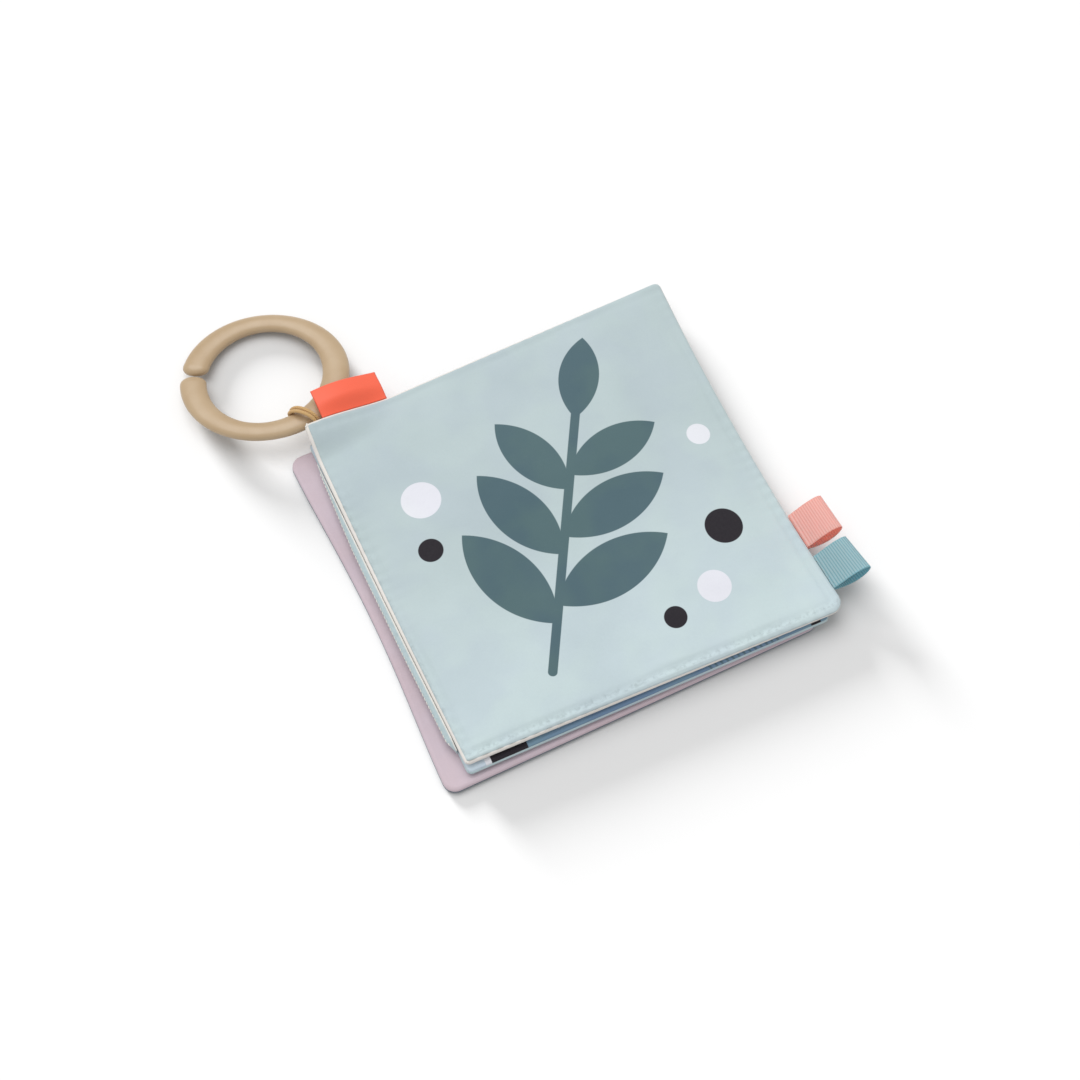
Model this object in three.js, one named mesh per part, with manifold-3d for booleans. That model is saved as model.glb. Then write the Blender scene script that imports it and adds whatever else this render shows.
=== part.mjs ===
// A baby's cloth activity book: three padded leaves sewn into a concertina,
// with two ribbon loops, a label tab and a teether link ring on a cord loop.
// Millimetres, +Z up. The back leaf lies flat on z = 0, the front leaf is on top,
// +X runs along the bottom edge towards the ribbons and +Y towards the label.
import * as THREE from "three";
import { mergeVertices } from "three/addons/utils/BufferGeometryUtils.js";
import Module from "manifold-3d";

const wasm = await Module();
wasm.setup();

// Clearances
const seat = 0.3;
const layGap = 0.45;

// Leaves: plan size, thickness and crown
const leafWidth = 148;
const leafHeight = 147.8;
const leafThickness = 3;
const leafCrown = 1.2;
const rimShare = 0.5;
const onRimFrom = 0.999;
const clothThickness = 0.5;
const panelCells = 12;

// Front leaf: its left side is gathered by the fold seam and its free side drawn in
const frontShiftDown = 0.75;
const frontGather = 1.75;
const freeSideDraw = 2.6;
const foldSideBow = 0.7;
const frontCornerRadius = 1.8;
const freeCornerRadius = 5.5;

// Middle and back leaves: how far each edge stands out from the front leaf's edge, or
// stays short of it
const middleLeftOut = 0.3;
const middleRightShort = 6.5;
const middleBottomOut = 1.55;
const middleTopShort = 4.75;
const backLeftOut = 9.5;
const backRightShort = 9.5;
const backBottomOut = 3.65;
const backTopShort = 6.15;
const middleCornerRadius = 2;
const backCornerRadius = 5;

// The front leaf's corner that lies on the ring
const cornerLift = 6.3;
const cornerReachX = 24;
const cornerReachY = 9.5;

// Fillings
const fillingCells = 8;
const fillingGap = 0.45;
const filmThickness = 0.15;

// Sewing thread and seams
const threadRadius = 0.22;
const threadSides = 4;
const seamSides = 3;
const seamSteps = 132;
const threadSlack = 0.15;
const threadLie = 0.62;

// Fold bindings
const bindingThickness = 0.5;
const bindingBulge = 0.8;
const bindingSteps = 10;
const bindingBands = 4;
const bindingEndInset = 13;
const foldStitchSteps = 24;

// Link ring
const ringHoleRadius = 22;
const ringWidth = 8.85;
const ringSwell = 1.3;
const ringHeight = 4.6;
const ringTilt = 9;
const ringMouthAngle = 152;
const ringMouthGap = 1.8;
const ringSteps = 60;
const ringSides = 14;
const ringCapSteps = 3;
const ringFootRise = 0.1;
const ringEndRound = 1.6;
const ringPastTube = 3.69;
const ringBearing = 104;

// Cord loop that holds the ring
const cordRadius = 0.55;
const cordStrandGap = 0.95;
const cordClearance = 0.5;
const cordRootRise = 0.8;
const cordRootTurn = 0.75 * Math.PI;
const cordRootSharpness = 8;
const tubeHalfAlong = 5.05;
const tubeCentreAlong = 4.4;
const cordSteps = 36;
const cordSides = 8;
const cordFromLeft = 4.8;
const cordPastTop = 0.1;
const cordHeading = 128;

// Label tab
const labelFromLeft = 7.6;
const labelWidth = 25.8;
const labelLength = 10.9;
const labelThickness = 0.4;
const labelOpening = 0.5;
const labelRise = 3.2;
const labelEndShare = 0.45;
const labelSteps = 8;

// Ribbon loops
const ribbonWidth = 14.3;
const ribbonThickness = 0.5;
const ribbonBulgeUp = 3.6;
const ribbonBulgeDown = 5.6;
const ribbonRise = 5;
const ribbonRootRadius = 0.55;
const ribbonSteps = 4;
const coralFromBottom = 32.45;
const coralLengthNear = 12.4;
const coralLengthFar = 11.8;
const tealFromBottom = 14.05;
const tealLengthNear = 13.1;
const tealLengthFar = 11.5;
const outlinePoints = 12;
const leastOpening = 0.05;
const leastPlyShare = 0.8;
const sewnRootRadii = 2;

const degree = Math.PI / 180;

// The front leaf's four edges, from which every other piece takes its place
const frontCentreY = -frontShiftDown;
const frontLeft = -leafWidth / 2;
const frontRight = leafWidth / 2;
const frontBottom = frontCentreY - leafHeight / 2;
const frontTop = frontCentreY + leafHeight / 2;

const root = new THREE.Group();
root.name = "baby_activity_book";

function add(name, geometry, color, roughness, metalness = 0) {
  const material = new THREE.MeshStandardMaterial({ color, roughness, metalness });
  const mesh = new THREE.Mesh(geometry, material);
  mesh.name = name;
  root.add(mesh);
  return mesh;
}

// Moves every vertex of a geometry to the place that a function gives for it.
function shaped(geometry, place) {
  const position = geometry.getAttribute("position");
  for (let i = 0; i < position.count; i += 1) {
    const [x, y, z] = place(position.getX(i), position.getY(i), position.getZ(i));
    position.setXYZ(i, x, y, z);
  }
  geometry.deleteAttribute("normal");
  geometry.deleteAttribute("uv");
  const whole = mergeVertices(geometry, 1e-4);
  whole.computeVertexNormals();
  return whole;
}

// A leaf's outline: u and v run from -1 to 1, to the right and to the top.
const front = {
  x: (u, v) => {
    const draw = u > 0 ? freeSideDraw : -foldSideBow;
    return u * (leafWidth / 2 - Math.abs(u) * draw * (1 - v * v));
  },
  y: (u, v) => frontCentreY + v * (leafHeight / 2 + u * frontGather),
  radius: (u, v) => (u > 0 && v < 0 ? freeCornerRadius : frontCornerRadius),
};

function squareLeaf(left, right, bottom, top, radius) {
  return {
    x: (u) => (left + right) / 2 + (u * (right - left)) / 2,
    y: (u, v) => (bottom + top) / 2 + (v * (top - bottom)) / 2,
    radius: () => radius,
  };
}
const middleRight = frontRight - middleRightShort;
const middle = squareLeaf(
  frontLeft - middleLeftOut,
  middleRight,
  frontBottom - middleBottomOut,
  frontTop - middleTopShort,
  middleCornerRadius,
);
const back = squareLeaf(
  frontLeft - backLeftOut,
  frontRight - backRightShort,
  frontBottom - backBottomOut,
  frontTop - backTopShort,
  backCornerRadius,
);

// The place in plan. Each corner's square is drawn into a quarter disc.
function plan(leaf, u, v) {
  const sideU = u < 0 ? -1 : 1;
  const sideV = v < 0 ? -1 : 1;
  const radius = leaf.radius(u, v);
  const x = leaf.x(u, v);
  const y = leaf.y(u, v);
  const a = Math.max(0, radius - Math.abs(leaf.x(sideU, v) - x));
  const b = Math.max(0, radius - Math.abs(leaf.y(u, sideV) - y));
  const inX = a * (1 - Math.sqrt(1 - (b * b) / (2 * radius * radius)));
  const inY = b * (1 - Math.sqrt(1 - (a * a) / (2 * radius * radius)));
  return [x - sideU * inX, y - sideV * inY];
}

// How full a leaf is over a place in plan: 1 in its middle, 0 from its edges on.
function fullness(leaf, x, y) {
  const left = leaf.x(-1, 0);
  const right = leaf.x(1, 0);
  const bottom = leaf.y(0, -1);
  const top = leaf.y(0, 1);
  const u = (x - (left + right) / 2) / ((right - left) / 2);
  const v = (y - (bottom + top) / 2) / ((top - bottom) / 2);
  return (1 - Math.min(1, u ** 4)) * (1 - Math.min(1, v ** 4));
}

// Heights of the three leaves' faces over a place in plan, each leaf lying on the next.
const backFace = (x, y) => leafThickness + leafCrown * fullness(back, x, y);
const middleLining = (x, y) => backFace(x, y) + layGap;
const middleFace = (x, y) =>
  middleLining(x, y) + leafThickness + leafCrown * fullness(middle, x, y);
function cornerRise(x, y) {
  const [cornerX, cornerY] = plan(front, -1, 1);
  const away = Math.hypot((x - cornerX) / cornerReachX, (y - cornerY) / cornerReachY);
  return cornerLift * Math.max(0, 1 - away * away) ** 2;
}
const frontLining = (x, y) => middleFace(x, y) + layGap + cornerRise(x, y);
const frontFace = (x, y) =>
  frontLining(x, y) + leafThickness + leafCrown * fullness(front, x, y);
back.low = () => 0;
back.high = backFace;
middle.low = middleLining;
middle.high = middleFace;
front.low = frontLining;
front.high = frontFace;

const rimHeight = (leaf, x, y) => leaf.low(x, y) + leafThickness / 2;

// A closed sheet between two heights over a leaf's plan, on the leaf's grid lines. With
// fewer cells it stops that many lines short of the edge all round.
const gridLine = (share) => Math.sin((share * Math.PI) / 2);
function sheet(leaf, cells, low, high) {
  const span = cells / panelCells;
  return shaped(new THREE.BoxGeometry(2, 2, 2, cells, cells, 1), (a, b, c) => {
    const [x, y] = plan(leaf, gridLine(a * span), gridLine(b * span));
    const onRim = Math.max(Math.abs(a), Math.abs(b)) > onRimFrom;
    return [x, y, (c > 0 ? high : low)(x, y, onRim)];
  });
}

// A leaf's height at u and v, taken straight between the grid lines on either side.
function heightOnGrid(leaf, u, v) {
  const around = (w) => {
    const line = Math.floor((Math.asin(w) * panelCells) / Math.PI);
    const before = gridLine((2 * line) / panelCells);
    const after = gridLine((2 * (line + 1)) / panelCells);
    return [before, after, (w - before) / (after - before)];
  };
  const [u0, u1, uShare] = around(u);
  const [v0, v1, vShare] = around(v);
  const at = (a, b) => leaf.low(...plan(leaf, a, b));
  const near = at(u0, v0) + (at(u1, v0) - at(u0, v0)) * uShare;
  const far = at(u0, v1) + (at(u1, v1) - at(u0, v1)) * uShare;
  return near + (far - near) * vShare;
}

// Each leaf: face and lining that meet round the rim, with its fillings between them
function makeLeaf(name, leaf, faceColor, liningColor, filmed) {
  const rimRise = (rimShare * leafThickness) / 2;
  const faceLow = (x, y, onRim) =>
    onRim ? rimHeight(leaf, x, y) + seat / 2 : leaf.high(x, y) - clothThickness;
  const faceHigh = (x, y, onRim) =>
    onRim ? rimHeight(leaf, x, y) + rimRise : leaf.high(x, y);
  const liningLow = (x, y, onRim) =>
    onRim ? rimHeight(leaf, x, y) - rimRise : leaf.low(x, y);
  const liningHigh = (x, y, onRim) =>
    onRim ? rimHeight(leaf, x, y) - seat / 2 : leaf.low(x, y) + clothThickness;
  add(`${name}_face`, sheet(leaf, panelCells, faceLow, faceHigh), faceColor, 0.9);
  add(`${name}_lining`, sheet(leaf, panelCells, liningLow, liningHigh), liningColor, 0.9);

  const filmSpace = filmed ? fillingGap + filmThickness : 0;
  const waddingLow = (x, y) => leaf.low(x, y) + clothThickness + fillingGap;
  const waddingHigh = (x, y) =>
    leaf.high(x, y) - clothThickness - fillingGap - filmSpace;
  const wadding = sheet(leaf, fillingCells, waddingLow, waddingHigh);
  add(`${name}_wadding`, wadding, 0xf4f2ec, 0.95);
  if (filmed) {
    const filmHigh = (x, y) => leaf.high(x, y) - clothThickness - fillingGap;
    const filmLow = (x, y) => filmHigh(x, y) - filmThickness;
    const film = sheet(leaf, fillingCells, filmLow, filmHigh);
    add(`${name}_crinkle_film`, film, 0xe6ebee, 0.25);
  }

  // The seam's thread runs round inside the rim, on the lining's inner face.
  const seamLine = gridLine((panelCells - 2) / panelCells);
  const points = [];
  for (let i = 0; i < seamSteps; i += 1) {
    const turn = ((i + 0.5) / seamSteps) * 8;
    const side = Math.floor(turn / 2);
    const along = (turn % 2) - 1;
    const [u, v] = [[1, along], [-along, 1], [-1, -along], [along, -1]][side];
    const [x, y] = plan(leaf, seamLine * u, seamLine * v);
    const bed = heightOnGrid(leaf, seamLine * u, seamLine * v);
    points.push(new THREE.Vector3(x, y, bed + clothThickness + threadLie));
  }
  const route = new THREE.CatmullRomCurve3(points, true, "catmullrom", threadSlack);
  const thread = new THREE.TubeGeometry(route, seamSteps, threadRadius, seamSides, true);
  add(`${name}_seam_thread`, shaped(thread, (x, y, z) => [x, y, z]), 0xe9dfc8, 0.7);
}

makeLeaf("front_leaf", front, 0xc3d3d6, 0xe8e2d2, true);
makeLeaf("middle_leaf", middle, 0x6f8ba6, 0xb8ccd2, false);
makeLeaf("back_leaf", back, 0xd0c0c8, 0x87939b, true);

// Fold bindings: a strip of tape bulging round the two sewn edges, with its stitch line
function makeFold(name, leaf, sideU, between, centreZ) {
  const [, bottomY] = plan(leaf, sideU, -1);
  const [, topY] = plan(leaf, sideU, 1);
  const startY = bottomY + bindingEndInset;
  const endY = topY - bindingEndInset;
  const edgeX = (y) => {
    const v = (2 * (y - bottomY)) / (topY - bottomY) - 1;
    return plan(leaf, sideU, v)[0];
  };
  const half = between / 2;
  const strip = new THREE.BoxGeometry(2, 2, 2, 1, bindingSteps, bindingBands);
  const tape = shaped(strip, (a, b, c) => {
    const y = startY + ((b + 1) / 2) * (endY - startY);
    const out = seat + bindingBulge * (1 - c * c) + (bindingThickness * (1 + a * sideU)) / 2;
    return [edgeX(y) + sideU * out, y, centreZ(y) + c * half];
  });
  add(`${name}_binding`, tape, 0xe8dfcb, 0.85);

  const points = [];
  for (let i = 0; i <= foldStitchSteps; i += 1) {
    const y = startY + seat + (i / foldStitchSteps) * (endY - startY - 2 * seat);
    const out = 2 * seat + bindingBulge + bindingThickness + threadRadius;
    points.push(new THREE.Vector3(edgeX(y) + sideU * out, y, centreZ(y)));
  }
  const section = new THREE.Shape();
  section.absarc(0, 0, threadRadius, 0, 2 * Math.PI, false);
  const thread = new THREE.ExtrudeGeometry(section, {
    steps: foldStitchSteps,
    curveSegments: threadSides,
    extrudePath: new THREE.CatmullRomCurve3(points),
  });
  add(`${name}_stitch`, shaped(thread, (x, y, z) => [x, y, z]), 0xf6f1e4, 0.7);
}
const leftFoldZ = (y) => middleFace(front.x(-1, 0), y) + layGap / 2;
const rightFoldZ = (y) => backFace(middleRight, y) + layGap / 2;
makeFold("left_fold", front, -1, leafThickness, leftFoldZ);
makeFold("right_fold", middle, 1, leafThickness, rightFoldZ);

// Where the cord leaves the seam, and the middle of the ring's tube that it goes round
const cordAlong = new THREE.Vector3(
  Math.cos(cordHeading * degree),
  Math.sin(cordHeading * degree),
  0,
);
const cordAside = new THREE.Vector3(-cordAlong.y, cordAlong.x, 0);
const cordRoot = new THREE.Vector3(frontLeft + cordFromLeft, frontTop + cordPastTop, 0);
const tubeCentre = cordRoot.clone().addScaledVector(cordAlong, tubeCentreAlong);

// Link ring: a capsule bent round, wider at the mouth and opposite to it
const ringTurn = new THREE.Matrix4().makeRotationX(-ringTilt * degree);
const ringWide = ringWidth + ringSwell;
const ringMeanRadius = ringHoleRadius + ringWide / 2;
const ringReach = ringHoleRadius + ringPastTube;
const ringCentreX = tubeCentre.x + ringReach * Math.cos(ringBearing * degree);
const ringCentreY = tubeCentre.y + ringReach * Math.sin(ringBearing * degree);
const ringCentreZ = ringMeanRadius * Math.sin(ringTilt * degree) + ringHeight / 2 - ringFootRise;
const ringCapsule = new THREE.CapsuleGeometry(1, 2, ringCapSteps, ringSides, ringSteps);
const ringSpan = Math.PI - (ringMouthGap / 2 + ringEndRound) / ringMeanRadius;
const ring = shaped(ringCapsule, (a, b, c) => {
  const beyond = Math.max(0, Math.abs(b) - 1);
  const along = Math.min(1, Math.abs(b)) * ringSpan + (beyond * ringEndRound) / ringMeanRadius;
  const angle = ringMouthAngle * degree + Math.PI + Math.sign(b) * along;
  const fromMouth = angle - ringMouthAngle * degree;
  const width = ringWidth + ringSwell * Math.cos(2 * fromMouth);
  const radius = ringHoleRadius + (width * (1 + a)) / 2;
  const spot = new THREE.Vector3(
    radius * Math.cos(angle),
    radius * Math.sin(angle),
    (c * ringHeight) / 2,
  ).applyMatrix4(ringTurn);
  return [spot.x + ringCentreX, spot.y + ringCentreY, spot.z + ringCentreZ];
});
add("link_ring", ring, 0xd8c8b0, 0.45);

// Cord loop: two strands side by side, over the ring's tube, through its hole and back
const tubeSlope = Math.tan(ringTilt * degree);
const tubeCentreZ = ringCentreZ + (ringCentreY - tubeCentre.y) * tubeSlope;
const cordReach = tubeHalfAlong + cordClearance + cordRadius;
const cordRise = ringHeight / 2 + cordClearance + cordRadius;
function cordStrand(aside) {
  const points = [];
  for (let i = 0; i < cordSteps; i += 1) {
    const turn = (i / cordSteps) * 2 * Math.PI;
    const reach = cordReach * Math.cos(turn);
    const lean = -reach * cordAlong.y * tubeSlope;
    const towardsRoot = Math.max(0, Math.cos(turn - cordRootTurn)) ** cordRootSharpness;
    const rise = cordRise * Math.sin(turn) + lean + cordRootRise * towardsRoot;
    const spot = tubeCentre.clone().addScaledVector(cordAlong, reach);
    spot.z = tubeCentreZ + rise;
    spot.addScaledVector(cordAside, aside);
    points.push(spot);
  }
  const route = new THREE.CatmullRomCurve3(points, true);
  const tube = new THREE.TubeGeometry(route, cordSteps, cordRadius, cordSides, true);
  return solid(shaped(tube, (x, y, z) => [x, y, z]));
}

function solid(geometry) {
  const position = geometry.getAttribute("position");
  const made = new wasm.Manifold(
    new wasm.Mesh({
      numProp: 3,
      vertProperties: new Float32Array(position.array),
      triVerts: new Uint32Array(geometry.getIndex().array),
    }),
  );
  return made.volume() < 0 ? made.mirror([1, 0, 0]).mirror([1, 0, 0]) : made;
}

function geometryOf(made) {
  const mesh = made.getMesh();
  const geometry = new THREE.BufferGeometry();
  geometry.setAttribute("position", new THREE.BufferAttribute(mesh.vertProperties, 3));
  geometry.setIndex(new THREE.BufferAttribute(mesh.triVerts, 1));
  geometry.computeVertexNormals();
  return geometry;
}
const cord = cordStrand(-cordStrandGap / 2).add(cordStrand(cordStrandGap / 2));
add("ring_cord_loop", geometryOf(cord), 0xb98a4e, 0.8);

// One ply of a sewn loop, seen from its side: its outer and its inner line
function ribbonPly(length, bulge, thickness, rootRadius) {
  const outer = [];
  const inner = [];
  for (let i = 1; i < outlinePoints; i += 1) {
    const turn = (i / outlinePoints) * Math.PI;
    const x = (length * (1 - Math.cos(turn))) / 2;
    const z = bulge * Math.sin(turn) * Math.sin(turn / 2) + rootRadius * (1 - x / length);
    outer.push([x, z]);
    const inX = x + thickness * Math.cos(turn);
    const inZ = z - thickness * Math.max(leastPlyShare, Math.sin(turn));
    const inLoop = inX > sewnRootRadii * rootRadius && inX < length - thickness;
    if (inLoop && inZ > leastOpening) inner.push([inX, inZ]);
  }
  return { outer, inner };
}

// A sewn loop of flat ribbon, seen from its side: a drop with a rounded root
function ribbonOutline(length, bulgeUp, bulgeDown, thickness, rootRadius) {
  const upper = ribbonPly(length, bulgeUp, thickness, rootRadius);
  const lower = ribbonPly(length, bulgeDown, thickness, rootRadius);
  const shape = new THREE.Shape();
  shape.moveTo(0, -rootRadius);
  lower.outer.forEach(([x, z]) => shape.lineTo(x, -z));
  shape.lineTo(length, 0);
  [...upper.outer].reverse().forEach(([x, z]) => shape.lineTo(x, z));
  shape.lineTo(0, rootRadius);
  shape.lineTo(-rootRadius * Math.SQRT1_2, rootRadius * Math.SQRT1_2);
  shape.lineTo(-rootRadius, 0);
  shape.lineTo(-rootRadius * Math.SQRT1_2, -rootRadius * Math.SQRT1_2);
  shape.closePath();
  const hole = new THREE.Path();
  hole.moveTo(sewnRootRadii * rootRadius, 0);
  upper.inner.forEach(([x, z]) => hole.lineTo(x, z));
  hole.lineTo(length - thickness, 0);
  [...lower.inner].reverse().forEach(([x, z]) => hole.lineTo(x, -z));
  hole.closePath();
  shape.holes.push(hole);
  return shape;
}

// Ribbon loops on the front leaf's free side, a little longer at their near end
function makeRibbon(name, centreY, lengthNear, lengthFar, color) {
  const length = (lengthNear + lengthFar) / 2;
  const outline = ribbonOutline(
    length,
    ribbonBulgeUp,
    ribbonBulgeDown,
    ribbonThickness,
    ribbonRootRadius,
  );
  const band = new THREE.ExtrudeGeometry(outline, {
    steps: ribbonSteps,
    depth: ribbonWidth,
    bevelEnabled: false,
  });
  const edgeAt = (y) => {
    const v = (y - frontCentreY) / (leafHeight / 2 + frontGather);
    return plan(front, 1, v)[0];
  };
  const nearX = edgeAt(centreY - ribbonWidth / 2);
  const farX = edgeAt(centreY + ribbonWidth / 2);
  const geometry = shaped(band, (x, y, z) => {
    const share = z / ribbonWidth;
    const spot = centreY + ribbonWidth * (0.5 - share);
    const edge = farX + (nearX - farX) * share + seat + ribbonRootRadius;
    const stretch = (lengthFar + (lengthNear - lengthFar) * share) / length;
    const out = x * stretch;
    const height = rimHeight(front, edge, spot) + y + (ribbonRise * Math.max(0, x)) / length;
    return [edge + out, spot, height];
  });
  add(name, geometry, color, 0.7);
}
const coralY = frontBottom + coralFromBottom;
const tealY = frontBottom + tealFromBottom;
makeRibbon("coral_ribbon_loop", coralY, coralLengthNear, coralLengthFar, 0xff8c78);
makeRibbon("teal_ribbon_loop", tealY, tealLengthNear, tealLengthFar, 0x4f9dad);

// Label tab: a folded tape sewn in the top seam, its left end lying on the ring
const labelLeft = frontLeft + labelFromLeft;
const labelRoot = labelThickness + labelOpening / 2;
const labelOutline = ribbonOutline(
  labelLength,
  labelOpening,
  labelOpening,
  labelThickness,
  labelRoot,
);
const labelBand = new THREE.ExtrudeGeometry(labelOutline, {
  steps: labelSteps,
  depth: labelWidth,
  bevelEnabled: false,
});
const label = shaped(labelBand, (x, y, z) => {
  const share = z / labelWidth;
  const spot = labelLeft + labelWidth * share;
  const edge = front.y(spot / (leafWidth / 2), 1) + seat + labelRoot;
  const along = Math.max(0, x) / labelLength;
  const onRing = labelEndShare + (1 - labelEndShare) * Math.sin(share * Math.PI);
  const climb = labelRise * onRing * Math.sin(Math.min(1, 2 * along) * (Math.PI / 2));
  return [spot, edge + x, rimHeight(front, spot, edge) + climb + y];
});
add("label_tab", label, 0xff7350, 0.6);

export default root;
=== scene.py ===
"""Looks of a baby's cloth activity book: three padded leaves in a concertina, with
ribbon loops, a label tab and a link ring on a cord. Lengths here are millimetres
unless a name says otherwise, and meshes are written in metres, in the frame's axes."""

import math
from functools import partialmethod

import bmesh
import bpy
import numpy as np
from bpy.props import FloatProperty, FloatVectorProperty, PointerProperty
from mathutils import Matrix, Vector


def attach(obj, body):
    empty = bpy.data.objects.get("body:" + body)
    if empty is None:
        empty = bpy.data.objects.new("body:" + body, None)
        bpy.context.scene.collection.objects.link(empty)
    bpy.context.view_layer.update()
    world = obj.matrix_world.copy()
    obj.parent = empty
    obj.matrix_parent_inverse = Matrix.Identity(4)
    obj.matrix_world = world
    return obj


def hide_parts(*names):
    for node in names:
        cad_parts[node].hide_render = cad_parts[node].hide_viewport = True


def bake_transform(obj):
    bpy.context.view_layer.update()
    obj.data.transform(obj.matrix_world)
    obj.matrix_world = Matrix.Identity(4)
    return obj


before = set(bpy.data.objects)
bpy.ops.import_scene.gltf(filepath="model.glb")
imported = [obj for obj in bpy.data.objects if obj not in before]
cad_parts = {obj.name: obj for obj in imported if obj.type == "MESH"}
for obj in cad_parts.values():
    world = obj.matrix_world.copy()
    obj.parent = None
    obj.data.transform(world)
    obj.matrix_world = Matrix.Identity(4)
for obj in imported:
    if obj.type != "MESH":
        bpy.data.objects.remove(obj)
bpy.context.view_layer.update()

bl_info = {
    "name": "Cloth activity book",
    "version": (1, 0, 0),
    "blender": (4, 5, 0),
    "location": "View3D > Sidebar > Activity book",
    "description": "Builds the fabric, ribbons, ring and stage of a cloth book",
    "category": "Add Mesh",
}

MM = 0.001

# Leaves, as in the part's source
LEAF_THICKNESS = 3.0
LEAF_CROWN = 1.2
LAY_GAP = 0.45
SEAT = 0.3
CORNER_LIFT = 6.3
CORNER_REACH = (36.0, 14.5)

# The front leaf: how far its right and left sides are drawn in halfway up, the half
# height it gains at its right end, and its right corners' radii, bottom and top
FRONT_DRAW = (2.6, -0.7)
FRONT_GATHER = 1.75
FRONT_RADII = (5.5, 3.0)

# Rim profile: its radius and the groove of the seam, and the crease inside the rim
RIM = 1.6
GROOVE = 0.2
GROOVE_WIDTH = 0.3
RIM_LINES = 12
CELL = 1.05
CREASE_INSET = 3.4
CREASE_WIDTH = 0.95
TUCK_LENGTH = 4.6
TUCK_REACH = 3.4

# Inside a leaf: shares of its size that hold the padding, the film and the seam, the
# room left above and below them, the thread's radius, numbers of grid lines and the
# film's folds (direction and pitch)
PAD_REACH = 0.88
PAD_INSET = 0.95
PAD_EDGE = 0.03
PAD_EDGE_LINES = 9
PAD_LINES = 73
FILM_REACH = 0.87
FILM_ROOM = 0.6
FILM_DEPTH = 1.02
FILM_LINES = 91
FILM_WALL = 0.06
FILM_FOLDS = ((0.3, 9.0), (1.1, 13.0), (1.9, 7.0), (2.6, 11.0))
SEAM_REACH = 0.962
SEAM_HEIGHT = 1.12
SEAM_RADIUS = 0.2
SEAM_POINTS = 1200

# Tapes over the folds: their bulge and half width, how far their ends and stitches
# stay from the leaf's ends, and how far they taper and narrow at the raised corner
FOLD_BULGE = 1.7
TAPE_HALF = 1.5
TAPE_ENDS = (6.0, 12.5)
STITCH_ENDS = (9.5, 16.5)
TAPE_END = 5.0
TAPE_TAPER = 38.0
TAPE_NARROWING = 16.0
TAPE_TUCK = 0.32
TAPE_OUT = 0.35
TAPE_WALL = 0.3
TAPE_GRID = (260, 17)

# A stitch: rings along it and sides round it, its radius, its half length as a share
# of the pitch, its rise from end to end, how far it stands out at its ends and more at
# its middle, its height over the fold and the share of the tape's bulge there
STITCH_GRID = (9, 8)
STITCH_RADIUS = 0.2
STITCH_HALF = 0.36
STITCH_SLANT = 0.3
STITCH_OUT = 0.4
STITCH_BOW = 0.16
STITCH_HEIGHT = 0.55
STITCH_BULGE = 0.86

# Link ring: the middle and the radius of its hole, its width and what the width gains
# at its mouth, its height, its tilt, its mouth's direction, the slit, the length of its
# domed ends, how much it is lowered onto its foot, its section's roundness (an
# exponent) and sides, and its parting line's height and width as shares
RING_CENTRE = (-78.117, 101.641)
RING_HOLE = 22.0
RING_WIDTH = 8.85
RING_SWELL = 1.3
RING_HEIGHT = 4.6
RING_TILT = math.radians(9)
RING_MOUTH = math.radians(152)
RING_GAP = 1.0
RING_END = 3.4
RING_FOOT = 0.1
RING_ROUNDNESS = 0.94
RING_SIDES = 40
PARTING_HEIGHT = 0.012
PARTING_WIDTH = 0.07
RING_MEAN = RING_HOLE + (RING_WIDTH + RING_SWELL) / 2
RING_Z = RING_MEAN * math.sin(RING_TILT) + RING_HEIGHT / 2 - RING_FOOT

# Cord loop: its root and its heading in plan, a strand's radius and its distance from
# the loop's middle, the room between it and the ring, how much higher it arches, more
# room at one angle round the tube, the twists, distance and radius of its plies, and
# the half width of the ring's tube and that tube's distance from the root
CORD_ROOT = (-69.2, 73.25)
CORD_HEADING = math.radians(128)
CORD_RADIUS = 0.55
CORD_ASIDE = 0.72
CORD_CLEARANCE = 0.5
CORD_ARCH = 2.4
CORD_ROOM = 0.8
CORD_ROOM_AT = 0.75 * np.pi
CORD_TWISTS = 14
PLY_ASIDE = 0.34
PLY_RADIUS = 0.39
PLY_SIDES = 10
TUBE_HALF = 5.05
TUBE_ALONG = 4.4

# Label and ribbons. Each ribbon has a name, the y of its middle, and its lengths at
# its near and its far side
LABEL_LEFT = -66.4
LABEL_WIDTH = 25.8
LABEL_LENGTH = 10.9
LABEL_THICKNESS = 0.4
LABEL_OPENING = 0.5
LABEL_RISE = 3.2
LABEL_END = 0.45
LABEL_SEWN = 0.85
RIBBONS = (("coral", -42.2, 12.4, 11.8), ("teal", -60.6, 13.1, 11.5))
RIBBON_WIDTH = 14.3
RIBBON_THICKNESS = 0.5
RIBBON_BULGE = (5.6, 3.6)
RIBBON_RISE = 5.0
RIBBON_ROOT = 0.55
RIBBON_SEWN = 0.75
SEWN_REACH = 0.9

# The cover's print: the sprig's middle and lean, its leaves' turn from the stem, its
# stem, its leaves (place along the stem, side and half length), discs (x, y and
# radius), and how far out the painted crease shade lies at the left
SPRIG_PLACE = np.array([-4.0, -6.0])
SPRIG_LEAN = math.radians(60)
SPRIG_SPREAD = math.radians(50)
SPRIG_STEM = (57.0, 0.1, 1.6)
SPRIG_LEAVES = (
    (-38, 1, 24.5), (-31, -1, 24.5), (-11, 1, 22.5), (-4, -1, 22.5), (15, 1, 19.5),
    (21, -1, 19.5), (45, 0, 18.0),
)
BLACK_DISCS = ((48, -30, 7.0), (-52, 6, 4.6), (16, -55, 4.2))
WHITE_DISCS = ((34, -50, 6.2), (-47, 26, 7.4), (57, 8, 4.4))
CREASE_SHADE_OUT = 2.6

# Half the floor's width
FLOOR_HALF = 4000.0


# Leaf shapes


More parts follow.
